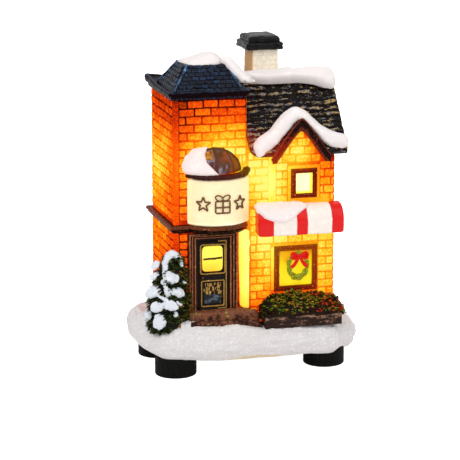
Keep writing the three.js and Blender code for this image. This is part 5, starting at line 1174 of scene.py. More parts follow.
def on_sign(points):
    """Lays flat points (across, up) on the sign board's curved face."""
    points = np.asarray(points, float)
    turn = points[:, 0] / SIGN_RADIUS
    radius = SIGN_RADIUS + 0.02
    return gather(BAY_X + radius * np.sin(turn), BAY_Y - radius * np.cos(turn), MOTIF_Z + points[:, 1])


def painted_line(points, half=0.26, seed=0, rows=50):
    """A raised painted stroke along flat points on the sign."""
    laid = on_sign(points)
    return form(strand(laid, half, 0.16, side=(0, -1, 0), rows=rows, columns=10, lump=0.05, size=0.6, tip=0.6,
                       seed=seed), 0.5)


star_turn = np.pi / 2 + np.arange(11) * np.pi / 5
star = gather(np.cos(star_turn), np.sin(star_turn)) * np.where(np.arange(11) % 2, 0.42, 1.0)[:, None]
star = np.repeat(star, 3, 0)[1:-1]
loop_turn = np.linspace(0, 2 * np.pi, 14)
leaf_loop = gather(0.75 - 0.75 * np.cos(loop_turn), 0.42 * np.sin(loop_turn))
square = np.repeat(np.array([(-1, -1), (1, -1), (1, 0.55), (-1, 0.55), (-1, -1)], float), 3, 0)[1:-1]
motifs = [painted_line(star * MOTIF_HALF + (-5.9, 0.3), seed=101, rows=110),
          painted_line(star * MOTIF_HALF + (5.9, 0.3), seed=102, rows=110),
          painted_line(square * MOTIF_HALF * (0.95, 1), seed=103, rows=90),
          painted_line(np.array([(0, -1), (0, -0.2), (0, 0.55)]) * MOTIF_HALF, seed=104),
          painted_line(np.array([(-0.95, -0.25), (0, -0.25), (0.95, -0.25)]) * MOTIF_HALF, seed=105)]
for side in (-1, 1):
    ribbon = leaf_loop * (side * 1.5, 1.9) + (0, 0.55 * MOTIF_HALF + 0.7)
    ribbon += np.abs(leaf_loop[:, :1]) * (0, 0.35)
    motifs.append(painted_line(ribbon, half=0.2, seed=106 + side))
motif_paint = grained("motif_brown", "4a2a10", "6a4018", size=0.6, rough=0.4)
piece("sign_motifs", motifs, motif_paint)

moulding_turn = np.linspace(-66, 67, 160)
moulding_profile = ((-1.2, 0.0, 0.1), (0.05, 0.0, 0.1), (0.5, 0.12, 0.3), (0.62, 0.6, 0.2), (0.5, 1.0, 0.4),
                    (0.2, 1.35, 0.7), (-0.5, 1.5, 0.5), (-1.3, 1.5, 0.2))
profile = resampled(moulding_profile, 30)
turn = np.radians(moulding_turn)[:, None]
reach = SIGN_RADIUS - 0.1 + profile[:, 0]
lift = 0.7 * ease(np.degrees(turn), 46, 67) - 0.25 * np.cos(turn) + 0.15
moulding = gather(BAY_X + reach * np.sin(turn), BAY_Y - reach * np.cos(turn),
                  dome_rim.foot + profile[:, 1] * (1 + 0.2 * ease(np.degrees(turn), 40, 67)) + lift)
moulding = ruffled(moulding, 0.14, 1.3, 111)
moulding[..., 1] = np.minimum(moulding[..., 1], tower.front + 0.3)
rust_end = 0.5 * ease(np.degrees(turn), 38, 60)
moulding_shade = np.clip(profile[:, 2] * 0.8 + rust_end, 0, 1)
moulding_paint = brushed("moulding_paint", "060404", "4c1e0e", "a8622c", size=0.7, reach=0.82, fleck_size=1.1,
                         flecks=0.1, rough=0.3, bump=0.8, leak=0.08, leak_tone=-0.42, gloss=0.15)
piece("dome_moulding", [form(moulding, moulding_shade)], moulding_paint, ["dome_rim"])

DOME_RADIUS = 9.3
DOME_X = BAY_X - 1.2
DOME_HEIGHT = half_dome.top - half_dome.foot + 1.0
dome_turn = np.linspace(-100, 100, 220)
dome_rise = np.linspace(0, 90, 90)[:, None]
wide, tall = np.cos(np.radians(dome_rise)), np.sin(np.radians(dome_rise))


def dome_point(turn, wide, tall, out=0.0):
    """A place on the dome at a turn from its front, or out above it."""
    radius = DOME_RADIUS + out
    return gather(DOME_X + radius * wide * np.sin(np.radians(turn)),
                  BAY_Y - radius * wide * np.cos(np.radians(turn)),
                  half_dome.foot + 0.3 + (DOME_HEIGHT + out) * tall)


rib_light = sum(np.exp(-((dome_turn - at) * wide / 2.6) ** 2) for at in (-2, -36, 34))
wall_arch = np.exp(-((np.abs(DOME_RADIUS * wide * np.cos(np.radians(dome_turn))) - 4.9) / 0.55) ** 2)
ribs = np.clip(np.maximum(rib_light, wall_arch), 0, 1)
gold_panel = ease(dome_turn, -36, -30) * (1 - ease(dome_turn, -8, -2)) * ease(dome_rise, 24, 34)
dome = dome_point(dome_turn, wide, tall, 0.38 * ribs)
dome = ruffled(dome, 0.1, 1.2, 113, loop=False)
panel = np.clip(0.3 + 0.2 * lumps(dome * (1, 1, 0.6), 0.9, 2, 114), 0.18, 0.5)
rust_panel = np.clip(ease(dome_turn, 2, 40) + 0.5 * rough(dome, 1.6, 116), 0, 1) * (dome_turn > 0)
panel = panel * (1 - gold_panel) + gold_panel * (0.62 + 0.1 * rough(dome * (1, 1, 0.3), 0.6, 115))
panel = panel * (1 - rust_panel) + rust_panel * 0.04
dome_shade = panel * (1 - ease(ribs, 0.25, 0.6)) + 0.2 * ease(ribs, 0.25, 0.6)
dome_back = dome_point(dome_turn, wide, tall, -1.2)
dome_paint, tree, shader = painted("dome_paint", Emission_Strength=0.1, Specular_IOR_Level=0.25,
                                   Roughness=0.32)
dome_cloud = use(tree, brush, Low=ink("000000"), High=ink("ffffff"), Size=0.0006, Reach=0.62)["Height"]
dome_wander = calc(tree, "MULTIPLY_ADD", dome_cloud, 0.18, raised_in(tree))
dome_wander = calc(tree, "SUBTRACT", dome_wander, 0.09)
dome_colors = ramp_of(tree, dome_wander, (
    (0.0, "8a3414"), (0.1, "4a1a0c"), (0.2, "0c0809"), (0.28, "1a1e28"), (0.4, "3e4a5c"), (0.48, "8490a0"),
    (0.54, "301a10"), (0.62, "a06a1c"), (0.72, "c89038")))
drive(tree, shader, Base_Color=dome_colors, Emission_Color=use(tree, glow, Tone=-0.36)["Color"],
      Normal=relief(tree, dome_cloud, 0.5, 0.15))
piece("ribbed_dome", [quilt(dome, dome_back, dome_shade, 0.1)], dome_paint, ["bay_dome"])

# Snow on the roofs, the dome and the awning: smooth off-white paste laid over the finished castings,
# faintly pink where the warm glow reaches it.
snow_paste = lit("snow_paste", "f9f2ef", "efe7e5", tone=-0.3, cloud=0.02, strength=0.07, size=2.5, rough=0.45,
                 spread=0.1, bump=0.16, depth=0.2, gloss=0.4)


def snow_patch(base, out, thick, size=2.2, lump=0.16, seed=0, sunk=0.3, edge_u=0.18, edge_v=0.18, power=0.5):
    """A blanket over a grid of base points with outward normals: its height swells from nothing at the
    grid's borders. thick is the full height."""
    rows, columns = base.shape[:2]
    u = np.linspace(0, 1, columns)
    v = np.linspace(0, 1, rows)[:, None]
    near_u = np.clip(np.minimum(u, 1 - u) / edge_u, 0, 1)
    near_v = np.clip(np.minimum(v, 1 - v) / edge_v, 0, 1)
    swell = (np.clip(1 - (1 - near_u) ** 2, 0, 1) ** power) * (np.clip(1 - (1 - near_v) ** 2, 0, 1) ** power)
    height = thick * swell * (1 + lump * lumps(base, size, 2, seed))
    return quilt(base + height[..., None] * out, base - sunk * out)


def patch_normals(points):
    """Normals of an open grid, turned upwards."""
    normal = normals_of(points, loop=False)
    return normal * np.sign(normal[..., 2].mean() or 1)


rise = np.linspace(0, 1, 70)[:, None]
across_snow = np.linspace(0, 1, 90)
snow_right = np.interp(rise.ravel(), (0, 0.15, 0.35, 0.6, 0.85, 1.0), (4, -6, -20, -27, -20, -2))[:, None]
snow_turn = -72 + (snow_right + 72) * across_snow
snow_rise = -3 + 79 * rise
snow_base_points = dome_point(snow_turn, np.cos(np.radians(snow_rise)), np.sin(np.radians(snow_rise)), 0.1)
away = snow_base_points - np.array([DOME_X, BAY_Y, half_dome.foot])
away /= np.linalg.norm(away, axis=-1, keepdims=True)
dome_thick = 1.2 - 0.6 * rise + 1.3 * (1 - across_snow) * np.sin(np.pi * rise)
piece("dome_snow_patch", [snow_patch(snow_base_points, away, dome_thick, seed=121, edge_v=0.16)], snow_paste,
      ["dome_snow"], sharp=180)

GABLE_SNOW_Y = -14.6
gable_path = np.array([(-0.5, 67.8, 2.3), (2.0, 67.9, 2.8), (4.8, 70.2, 2.4), (7.2, 72.4, 2.15),
                       (9.2, 74.8, 2.2), (11.0, 76.8, 2.1), (12.9, 77.9, 1.9), (15.2, 77.2, 1.4),
                       (17.6, 75.1, 1.15), (19.8, 72.7, 1.35), (22.0, 70.8, 2.0), (24.6, 69.3, 2.5),
                       (27.4, 68.6, 2.4), (29.3, 68.5, 1.9)])
gable_centre = gather(gable_path[:, 0], GABLE_SNOW_Y, gable_path[:, 1])
gable_snow = strand(gable_centre, gable_path[:, 2], 2.3, side=(0.0, 0.93, 0.37), power=0.85, columns=60,
                    rows=300, lump=0.16, size=2.6, seed=123, tip=1.1)
piece("gable_snow_band", [form(gable_snow)], snow_paste, ["gable_snow"], sharp=180)

ridge_x = np.linspace(0, 1, 200)
ridge_s = np.linspace(-1, 1, 80)[:, None]
snow_x = -1.2 + 30.2 * ridge_x
front_reach = np.interp(snow_x.ravel(), (0, 4, 8, 13, 18, 22, 25, 27.5, 29),
                        (1.6, 2.2, 2.6, 2.6, 2.6, 3.4, 4.7, 5.2, 3.8))
back_reach = 5.2 + 0.8 * np.sin(snow_x.ravel() * 0.4)
reach = np.where(ridge_s < 0, -front_reach, back_reach) * np.abs(ridge_s)
flat = np.sqrt(reach ** 2 + 1.2) - 1.0
ridge_base = gather(snow_x, RIDGE_Y + reach * math.cos(ROOF_ANGLE) * 1.25,
                    ridge.top - flat * math.sin(ROOF_ANGLE))
ridge_out = patch_normals(ridge_base)
ridge_thick = np.interp(snow_x.ravel(), (-1, 5, 12, 18, 23, 29), (2.3, 2.7, 2.9, 3.1, 3.1, 2.5))
piece("ridge_snow_bank", [snow_patch(ridge_base, ridge_out, ridge_thick, seed=127, edge_u=0.05, edge_v=0.2,
                                     lump=0.12, size=4.0)], snow_paste, ["ridge_snow"], sharp=180)

roof_turn = round_turn(120)
roof_part = np.linspace(0, 1, 46)[:, None]
cap_half = np.array([6.5, 7.0])
cap_middle = np.array([-11.7, 1.6])
CAP_POWER = 0.75
lobe = 1 + 0.05 * np.sin(3 * roof_turn + 0.5) + 0.03 * np.sin(5 * roof_turn)
cap_layers = []
for part, is_top in ((roof_part, True), (roof_part[::-1], False)):
    cap_x, cap_y = (middle + half * part * lobe * wave
                    for middle, half, wave in zip(cap_middle, cap_half, squared(roof_turn, CAP_POWER)))
    crest = 1.2 + 1.9 * np.exp(-((cap_x + 8.3) / 4.6) ** 2)
    swell = np.clip(1 - part ** 2.6, 0, 1) ** 0.6
    top = hip_roof.top - 0.2 + crest * swell
    cap_layers.append(gather(cap_x, cap_y, top if is_top else hip_roof.top - 0.6))
cap_snow = np.vstack(cap_layers)
cap_snow[:46] += 0.12 * lumps(cap_snow[:46], 3.0, 2, 131)[..., None] * (0, 0, 1)
trail = strand([(-6.6, -3.6, 93.1), (-5.4, -4.6, 92.6), (-3.9, -6.0, 90.9), (-2.2, -7.8, 88.9),
                (-0.6, -8.8, 87.3), (1.6, -6.4, 87.0)], (1.1, 1.3, 1.3, 1.25, 1.3, 1.2), 1.9,
               side=(0.7, 0.7, 0.0), rows=100, columns=30, lump=0.14, size=2.0, seed=133)
piece("tower_snow_cap", [form(cap_snow), form(trail)], snow_paste, ["tower_roof_snow"], sharp=180)

# Door and windows: moulded frames in dark brown with pink and gold dry-brushed edges. The panes are
# the thin resin itself, so they glow.


def moulded_frame(low, high, sides, head, section, back, open_foot=False, samples=60, seed=0, lump=0.05):
    """A moulded frame round a rectangle given by its outer corners (x, z). section has rows of (part of
    the way in, height towards the front, raised); sides and head are the widths of the members."""
    grids = []
    for part, height, raised in resampled(section, 5 * len(section)):
        left, right = low[0] + sides * part, high[0] - sides * part
        top = high[1] - head * part
        foot = low[1] if open_foot else low[1] + head * part
        corners = [(left, foot), (left, top), (right, top), (right, foot)]
        if not open_foot:
            corners.append((left, foot))
        pieces = [np.linspace(a, b, samples, endpoint=False) for a, b in zip(corners[:-1], corners[1:])]
        if open_foot:
            pieces.append(np.array([corners[-1]]))
        plan = np.vstack(pieces)
        grids.append(gather(plan[:, 0], back - height, plan[:, 1], raised))
    grid = np.stack(grids)
    bare = grid[..., :3]
    grid[..., :3] += lump * gather(rough(bare, 1.4, seed), rough(bare, 0.9, seed + 1),
                                   rough(bare, 1.4, seed + 2))
    return form(np.swapaxes(grid, 0, 1)) if open_foot else form(grid, ring=True)


leaf = Box("door_leaf")
glass = Box("door_glass")
door_section = ((0.0, -0.1, 0.2), (0.02, 1.0, 0.5), (0.1, 1.25, 0.75), (0.26, 1.2, 0.3), (0.34, 0.85, 0.15),
                (0.4, 0.9, 0.8), (0.46, 0.9, 0.8), (0.52, 0.7, 0.1), (0.66, 0.62, 0.1), (0.72, 0.75, 0.9),
                (0.8, 0.75, 0.9), (0.86, 0.5, 0.1), (0.96, 0.35, 0.1), (1.0, -0.2, 0.1))
frame_paint = brushed("door_frame_paint", "1c0e08", "a06040", "c09858", size=0.6, reach=0.46, fleck_size=1.0,
                      flecks=0.16, rough=0.3, leak=0.4, leak_tone=-0.45, gloss=0.06)
door_rim = moulded_frame((surround.left, surround.foot), (surround.right, surround.top), 2.7, 1.95,
                         door_section, tower.front, open_foot=True, seed=201)
piece("door_surround", [door_rim], frame_paint, ["door_frame"])

leaf_x = np.linspace(leaf.left, leaf.right, 130)
leaf_z = np.linspace(leaf.foot, leaf.top, 240)[:, None]


def line_round(x, z, low, high, width, rounding=0.0):
    """1 on the outline of a rectangle with rounded corners, fading over width, and how far inside."""
    centre = ((low[0] + high[0]) / 2, (low[1] + high[1]) / 2)
    over_x = np.abs(x - centre[0]) - (high[0] - low[0]) / 2 + rounding
    over_z = np.abs(z - centre[1]) - (high[1] - low[1]) / 2 + rounding
    distance = np.hypot(np.maximum(over_x, 0), np.maximum(over_z, 0)) - rounding
    distance += np.minimum(np.maximum(over_x, over_z), 0)
    return np.exp(-(distance / width) ** 2), -distance


pane_low = (glass.left - 0.15, glass.foot + 0.05)
pane_high = (glass.right + 0.15, glass.top + 0.15)
panel_low = (glass.left - 0.1, leaf.foot + 1.3)
panel_high = (glass.right + 0.1, leaf.foot + 8.4)
edge_line, _ = line_round(leaf_x, leaf_z, (leaf.left + 0.75, leaf.foot + 0.2),
                          (leaf.right - 0.75, leaf.top - 0.8), 0.2)
pane_line, pane_in = line_round(leaf_x, leaf_z, (pane_low[0] - 0.6, pane_low[1] - 0.6),
                                (pane_high[0] + 0.6, pane_high[1] + 0.6), 0.26, 0.6)
panel_line, panel_in = line_round(leaf_x, leaf_z, (panel_low[0] - 0.35, panel_low[1] - 0.35),
                                  (panel_high[0] + 0.35, panel_high[1] + 0.35), 0.24, 0.3)
leaf_height = 0.25 * edge_line + 0.45 * pane_line + 0.35 * panel_line - 0.35 * ease(pane_in, 0.2, 0.7) \
    - 0.22 * ease(panel_in, 0.1, 0.4)
leaf_points = gather(leaf_x, leaf.front - 0.12 - leaf_height, leaf_z)
leaf_points[..., 1] -= 0.05 * lumps(leaf_points, 0.9, 2, 211)
strokes = rough(leaf_points * (1, 1, 0.22), 0.3, 219) + 0.4 * rough(leaf_points, 0.5, 220)
in_panel = ease(panel_in, 0.5, 0.9)
high_in_panel = ease(leaf_z + 0.25 * (leaf_x - leaf.left), panel_low[1] + 2.4, panel_low[1] + 4.6)
leaf_points[..., 1] -= in_panel * 0.12 * np.clip(strokes, 0, 1)
leaf_shade = np.maximum.reduce([0.85 * edge_line * (leaf_x > BAY_X), 0.8 * pane_line, 0.8 * panel_line])
leaf_shade = np.clip(1.1 * leaf_shade + in_panel * (0.5 + 0.7 * strokes) * high_in_panel, 0, 1)
leaf_back = leaf_points * (1, 0, 1) + (0, leaf.back, 0)
leaf_paint = brushed("door_paint", "161210", "b48a44", "e0bc68", size=0.5, reach=0.47, fleck_size=0.8,
                     flecks=0.14, rough=0.3, bump=0.4, leak=0.12, leak_tone=-0.35, gloss=0.1)
leaf_form = quilt(leaf_points, leaf_back, leaf_shade, 0.1)
piece("door_leaf_panelled", [leaf_form], leaf_paint, ["door_leaf"])
panel_x = np.linspace(panel_low[0] + 0.6, panel_high[0] - 0.6, 40)
panel_z = np.linspace(panel_low[1] + 0.5, panel_low[1] + 3.2, 40)[:, None]
panel_base = gather(panel_x, leaf.front - 0.1, panel_z)
slate_blue = brushed("door_panel_blue", "14181c", "54626e", "8a949c", size=0.7, reach=0.55, rough=0.3)
blue_front = panel_base - (0.08 * np.clip(lumps(panel_base, 0.8, 2, 217), -1, 1) + 0.1)[..., None] * (0, 1, 0)
blue_shade = 0.5 + 0.4 * rough(blue_front, 0.9, 218)
piece("door_panel_wash", [quilt(blue_front, panel_base + (0, 0.3, 0), blue_shade, 0.2)],
      slate_blue)


def glowing(name, stops, low, high, axis="Z", strength=1.0, base="c8a040", rough=0.3):
    """A lit pane: its colour runs through the stops between two places along one axis, in millimetres."""
    made, tree, shader, _ = grain_paint(name, base, base, size=2.0, rough=rough, bump=0.1,
                                        Specular_IOR_Level=0.12, Emission_Strength=strength)
    place = place_in(tree)
    along = node(tree, "SeparateXYZ", {0: place}).outputs[axis]
    along = remap(tree, along, low / 1000, high / 1000)
    mottle = node(tree, "TexNoise", {"Vector": place, "Scale": 260.0}).outputs["Fac"]
    shift = calc(tree, "SUBTRACT", calc(tree, "MULTIPLY_ADD", mottle, 0.6, along), 0.3)
    drive(tree, shader, Emission_Color=ramp_of(tree, shift, stops))
    return made


def pane(low, high, front, depth, rounding=0.5, bulge=0.2, samples=40):
    """A slightly bulging plate with rounded corners between two corners (x, z)."""
    turn = round_turn(4 * samples)
    half = (np.array(high) - low) / 2
    middle = (np.array(high) + low) / 2
    ring_x, ring_z = squared(turn, rounding)
    parts = np.concatenate([[1], np.linspace(1, 0.02, 16)])[:, None]
    y = front - bulge * (1 - parts ** 2) + 0.15 * ease(parts, 0.9, 1.0)
    y[0] = front + depth
    return form(gather(middle[0] + half[0] * parts * ring_x, y, middle[1] + half[1] * parts * ring_z))


door_glow = glowing("door_pane_glow", ("e8b010", "ffe030", "fff060", "ffee50"), pane_low[1], pane_high[1],
                    strength=0.85)
bar_z = (pane_low[1] + pane_high[1]) / 2 + 0.1
bar = strand([(pane_low[0] + 0.1, leaf.front - 0.3, bar_z - 0.1), (BAY_X - 1.6, leaf.front - 0.32, bar_z),
              (pane_high[0] - 0.1, leaf.front - 0.3, bar_z + 0.15)], 0.3, 0.2, rows=60, columns=10,
             lump=0.09, size=0.5)
piece("door_pane", [pane(pane_low, pane_high, leaf.front - 0.05, 0.4, 0.3)], door_glow,
      ["door_glass"])
piece("door_glazing_bar", [form(bar, 0.4)], leaf_paint)
knob_box = Box("door_knob")
knob_turn = np.linspace(0.02, np.pi - 0.02, 14)
knob_profile = np.column_stack([0.5 * np.sin(knob_turn), -0.5 * np.cos(knob_turn)])
knob = turned(knob_profile, (0, 0, 0), 20)[..., [0, 2, 1]] + knob_box.middle
knob_gold = grained("knob_gold", "8a6424", "5c3c14", size=0.5, rough=0.3, Metallic=0.8)
piece("door_knob_ball", [form(knob)], knob_gold, ["door_knob"])

window_section = ((0.0, -0.3, 0.2), (0.02, 0.7, 0.4), (0.1, 1.0, 0.75), (0.36, 1.05, 0.6), (0.46, 0.85, 0.1),
                  (0.56, 0.8, 0.15), (0.64, 0.98, 0.75), (0.86, 0.95, 0.5), (0.97, 0.7, 0.2), (1.0, 0.0, 0.1),
                  (0.97, -0.4, 0.1))
window_paint = brushed("window_paint", "0c0302", "6c300e", "d08038", size=0.45, reach=0.6, fleck_size=0.9,
                       flecks=0.14, rough=0.26, bump=1.0, leak=0.25, leak_tone=-0.4, gloss=0.07)
surround_section = ((0.0, -0.2, 0.4), (0.05, 0.16, 0.5), (0.5, 0.24, 0.6), (0.95, 0.18, 0.5),
                    (1.0, -0.2, 0.4))
surround_resin = lit("lit_surround", "a06a20", "80500e", tone=-0.03, cloud=0.5, size=0.7, rough=0.4, bump=0.4)
upper_pane = Box("upper_window_pane")
lower_pane = Box("lower_window_pane")
for name, box, width, seed in (("upper", upper, 1.45, 301), ("lower", lower, 1.55, 311)):
    framed = moulded_frame((box.left, box.foot), (box.right, box.top), width, width, window_section,
                           house.front, seed=seed)
    piece(f"{name}_window_moulding", [framed], window_paint, [f"{name}_window_frame"])
up_ring = moulded_frame((upper.left - SURROUND, upper.foot - 1.0), (upper.right + SURROUND, upper.top + 0.95),
                        SURROUND, 0.97, surround_section, house.front, seed=321)
band_x = (upper.left - SURROUND - 1.2, house.right - 1.0)
band_z = upper.foot - 1.25
band = strand([(band_x[0], house.front, band_z), (GABLE_X + 1, house.front, band_z + 0.05),
               (band_x[1], house.front, band_z)], 0.5, 0.32, rows=90, columns=16, lump=0.08,
              size=1.0, seed=322)
left_x = lower.left - SURROUND / 2
left_strip = strand([(left_x, house.front, lower.foot + 0.3), (left_x, house.front, 31.0),
                     (left_x, house.front, lower.top)], 0.42, 0.3, rows=80, columns=16, lump=0.06, seed=323)
piece("window_surrounds", [up_ring, form(band, 0.5), form(left_strip, 0.5)], surround_resin)

REVEAL_DEPTH = 2.1
reveal_back = house.front + REVEAL_DEPTH
reveal_section = ((0.0, 0.0, 0.5), (0.0, REVEAL_DEPTH + 0.5, 0.5), (1.0, REVEAL_DEPTH + 0.45, 0.5),
                  (1.0, 0.0, 0.5))
reveal = moulded_frame((upper.left + 1.2, upper.foot + 1.2), (upper.right - 1.2, upper.top - 1.2),
                       0.3, 0.3, reveal_section, reveal_back, lump=0.02, seed=331)
reveal_glow = glowing("reveal_glow", ("ffd000", "ffe210", "ffec40"), 50, 62, strength=0.8)
piece("upper_window_reveal", [reveal], reveal_glow)
up_glow = glowing("upper_pane_glow", ("ffe890", "fff4cc", "fff8dc"), upper_pane.left - 2,
                  upper_pane.right + 2, "X", strength=0.75, base="e0d8b0")
down_glow = glowing("lower_pane_glow", ("f8c008", "fff020", "ffe008", "f0a008", "d06804"),
                    lower_pane.foot - 1, lower_pane.top + 3.5, strength=0.85, base="806010")
for name, box, front, depth, bulge, finish in (
    ("upper", upper, reveal_back - 0.3, 0.4, 0.1, up_glow),
    ("lower", lower, lower_pane.front, 0.6, 0.15, down_glow)):
    plate = pane((box.left + 1.3, box.foot + 1.3), (box.right - 1.3, box.top - 1.3), front,
                 depth, 0.15, bulge)
    piece(f"{name}_pane_lit", [plate], finish, [f"{name}_window_pane"])

# The wreath is a ring of many small needles in two greens round a lumpy core, with a red bow of two
# loops and two tails in front of its top.
wreath = Box("wreath")
wreath_middle = np.array([13.7, wreath.front + 0.8, 31.8])
WREATH_RADIUS, WREATH_TUBE, WREATH_TALL = 2.85, 0.56, 1.3
ring_turn = round_turn(120)[:, None]
tube_turn = round_turn(20)
swell = WREATH_TUBE * (1 + 0.25 * np.sin(9 * ring_turn + 1) - 0.25 * np.sin(ring_turn))
core = gather(wreath_middle[0] + (WREATH_RADIUS + swell * np.cos(tube_turn)) * np.cos(ring_turn),
              wreath_middle[1] + swell * np.sin(tube_turn), wreath_middle[2] + WREATH_TALL
              * (WREATH_RADIUS + swell * np.cos(tube_turn)) * np.sin(ring_turn))
core = ruffled(core, 0.16, 0.5, 341)


def scattered(places, tips, width, raised):
    """Small closed leaves, each from its place to its tip: a diamond with a low ridge on both faces."""
    along = tips - places
    length = np.linalg.norm(along, axis=1, keepdims=True)
    along = along / length
    helper = np.where(np.abs(along[:, 2:]) < 0.9, (0.0, 0.0, 1.0), (1.0, 0.0, 0.0))
    across = np.cross(along, helper)
    across /= np.linalg.norm(across, axis=1, keepdims=True)
    over = np.cross(across, along)
    width = np.asarray(width, float).reshape(-1, 1) * np.ones_like(length)
    middle = places + along * length * 0.45
    corners = np.stack([places, middle + across * width, tips, middle - across * width,
                        middle + over * width * 0.4, middle - over * width * 0.4], 1)
    pattern = np.array([(0, 1, 4), (1, 2, 4), (2, 3, 4), (3, 0, 4), (1, 0, 5), (2, 1, 5),
                        (3, 2, 5), (0, 3, 5)])
    faces = (pattern[None] + 6 * np.arange(len(places))[:, None, None]).reshape(-1, 3).tolist()
    raised = np.repeat(np.broadcast_to(raised, (len(places),)), 6)[:, None]
    return np.hstack([corners.reshape(-1, 3), raised]), faces


leaf_rng = np.random.default_rng(11)
count = 420
at = leaf_rng.uniform(0, 2 * np.pi, count)
round_at = leaf_rng.uniform(-np.pi, 0.3, count)
radial = gather(np.cos(at), np.zeros(count), WREATH_TALL * np.sin(at))
out = radial * np.cos(round_at)[:, None] + (0, 1, 0) * np.sin(round_at)[:, None]
sweep = gather(-np.sin(at), np.zeros(count), np.cos(at)) * leaf_rng.choice((-1, 1), count)[:, None]
needle_start = wreath_middle + radial * WREATH_RADIUS + out * WREATH_TUBE * 0.8
needle_tip = needle_start + 0.42 * out + 0.4 * sweep * leaf_rng.uniform(0.3, 1, (count, 1))
wreath_paint = brushed("wreath_paint", "4a7010", "a0bc2c", "e0f080", size=0.4, reach=0.45, fleck_size=0.6,
                       flecks=0.22, rough=0.4, leak=0.16, leak_tone=0.0, gloss=0.08)
piece("needle_wreath", [form(core, 0.35, ring=True),
                        scattered(needle_start, needle_tip, 0.15, leaf_rng.uniform(0.2, 1, count))],
      wreath_paint, ["wreath"])

wreath_bow = Box("wreath_bow")
bow_centre = np.array([13.8, wreath_bow.front + 0.55, 34.7])
# The bow's red glows evenly by emission: painted light, standing for the lamp's light through the resin.
glowing_ribbon_paint = grained("bow_red", "b80802", "900402", size=0.8, rough=0.26, Specular_IOR_Level=0.2,
                       Emission_Color=ink("d81404"), Emission_Strength=0.6)
bow_forms = []
for side in (-1, 1):
    loop = [bow_centre + (side * x, -0.1 * x, z) for x, z in
            ((0.1, 0.1), (1.0, 0.9), (1.9, 1.35), (2.5, 0.9), (2.3, -0.4), (1.3, -0.5), (0.1, 0.0))]
    bow_forms.append(form(strand(loop, 0.36, 0.5, rows=60, columns=14, lump=0.06, size=0.8, seed=350 + side)))
    fill = [bow_centre + (side * x, 0.15, z) for x, z in ((0.3, 0.1), (1.3, 0.35), (2.4, 0.45))]
    bow_forms.append(form(strand(fill, (0.3, 0.9, 0.8), 0.22, rows=40, columns=14, lump=0.05,
                                 seed=353 + side)))
    tail = [bow_centre + (side * x, 0.1, z) for x, z in ((0.1, -0.1), (0.7, -1.2), (1.6, -2.4), (2.6, -3.3))]
    bow_forms.append(form(strand(tail, (0.3, 0.5, 0.6, 0.55), 0.26, rows=50, columns=14, lump=0.06,
                                 seed=356 + side)))
knot_turn = np.linspace(0.03, np.pi - 0.03, 16)
knot = turned(np.column_stack([0.65 * np.sin(knot_turn), -0.65 * np.cos(knot_turn)]), (0, 0, 0),
              24) + bow_centre
bow_forms.append(form(ruffled(knot, 0.05, 0.5, 359)))
piece("ribbon_bow", bow_forms, glowing_ribbon_paint, ["wreath_bow"])

# The awning: one solid cast canopy with a rounded back and a straight valance. Its stripes are painted
# glossy red and white, with a shallow groove between each two.
STRIPES = (5.3, 12.4, 15.8, 23.3)
SLOPE_DROP = 5.4
awning_x = np.linspace(canopy.left, canopy.right, 300)
awning_section = [(house.front + 0.3, canopy.top - 0.1)]
drop = np.linspace(0, np.pi / 2, 26)
slope_y = canopy.back - canopy.front
awning_section += [(house.front - slope_y * math.sin(a) ** 0.9,
                    canopy.top - 0.15 - SLOPE_DROP * (1 - math.cos(a))) for a in drop]
awning_section += [(canopy.front + 0.02 * k, canopy.top - 5.6 - 0.36 * k) for k in range(1, 9)]
awning_section += [(canopy.front + 0.5, canopy.foot + 0.12), (canopy.front + 1.2, canopy.foot + 0.05),
                   (house.front + 0.3, canopy.foot + 0.6)]
section = resampled(awning_section, 90)
groove = sum(np.exp(-((awning_x - at) / 0.22) ** 2) for at in STRIPES)
ends = np.minimum(awning_x - canopy.left, canopy.right - awning_x)
round_end = 1 - np.sqrt(1 - np.clip(1 - ends / 1.1, 0, 1) ** 2)
shrink = 1 - 0.16 * round_end - 0.035 * groove
pivot = np.array([house.front, (canopy.foot + canopy.top) / 2 - 0.6])
awning_grid = gather(awning_x[:, None], *(centre + (line - centre) * shrink[:, None]
                                          for centre, line in zip(pivot, section.T)))
awning_grid += 0.09 * lumps(awning_grid, 2.6, 2, 361)[..., None] * (0.3, 1, 1)
awning_grid[..., 1] = np.maximum(awning_grid[..., 1], canopy.front)
# The awning also glows by emission, as painted light from the lamp inside: its red stripes glow red and its
# white ones a dim warm brown.
awning_glow_paint, tree, shader = painted("awning_stripes_glowing", Emission_Strength=0.6, Specular_IOR_Level=0.2)
awning_grain = use(tree, grain, Color=ink("ffffff"), Other=ink("e4e4e4"), Size=0.0016, Share=0.5, Rough=0.12,
                   Spread=0.15)
awning_across = node(tree, "SeparateXYZ", {0: place_in(tree)}).outputs["X"]
awning_waver = calc(tree, "MULTIPLY_ADD", awning_grain["Height"], 0.0005, awning_across)
awning_along = remap(tree, awning_waver, canopy.left / 1000, canopy.right / 1000)
spread = canopy.right - canopy.left


def striped(red, white):
    """The stripes as a ramp along the awning, red first."""
    stops = [(0.0, red)]
    for k, at in enumerate(STRIPES):
        before, after = (red, white) if k % 2 == 0 else (white, red)
        stops += [((at - 0.08 - canopy.left) / spread, before), ((at + 0.08 - canopy.left) / spread, after)]
    return ramp_of(tree, awning_along, stops)


awning_tint = mixed(tree, 0.5, striped("c0181a", "f8f0ea"), awning_grain["Color"], blend_type="MULTIPLY")
drive(tree, shader, Base_Color=awning_tint, Roughness=awning_grain["Roughness"],
      Emission_Color=striped("b80c02", "6c5840"))
piece("striped_awning", [form(awning_grid)], awning_glow_paint, ["awning"], sharp=60)

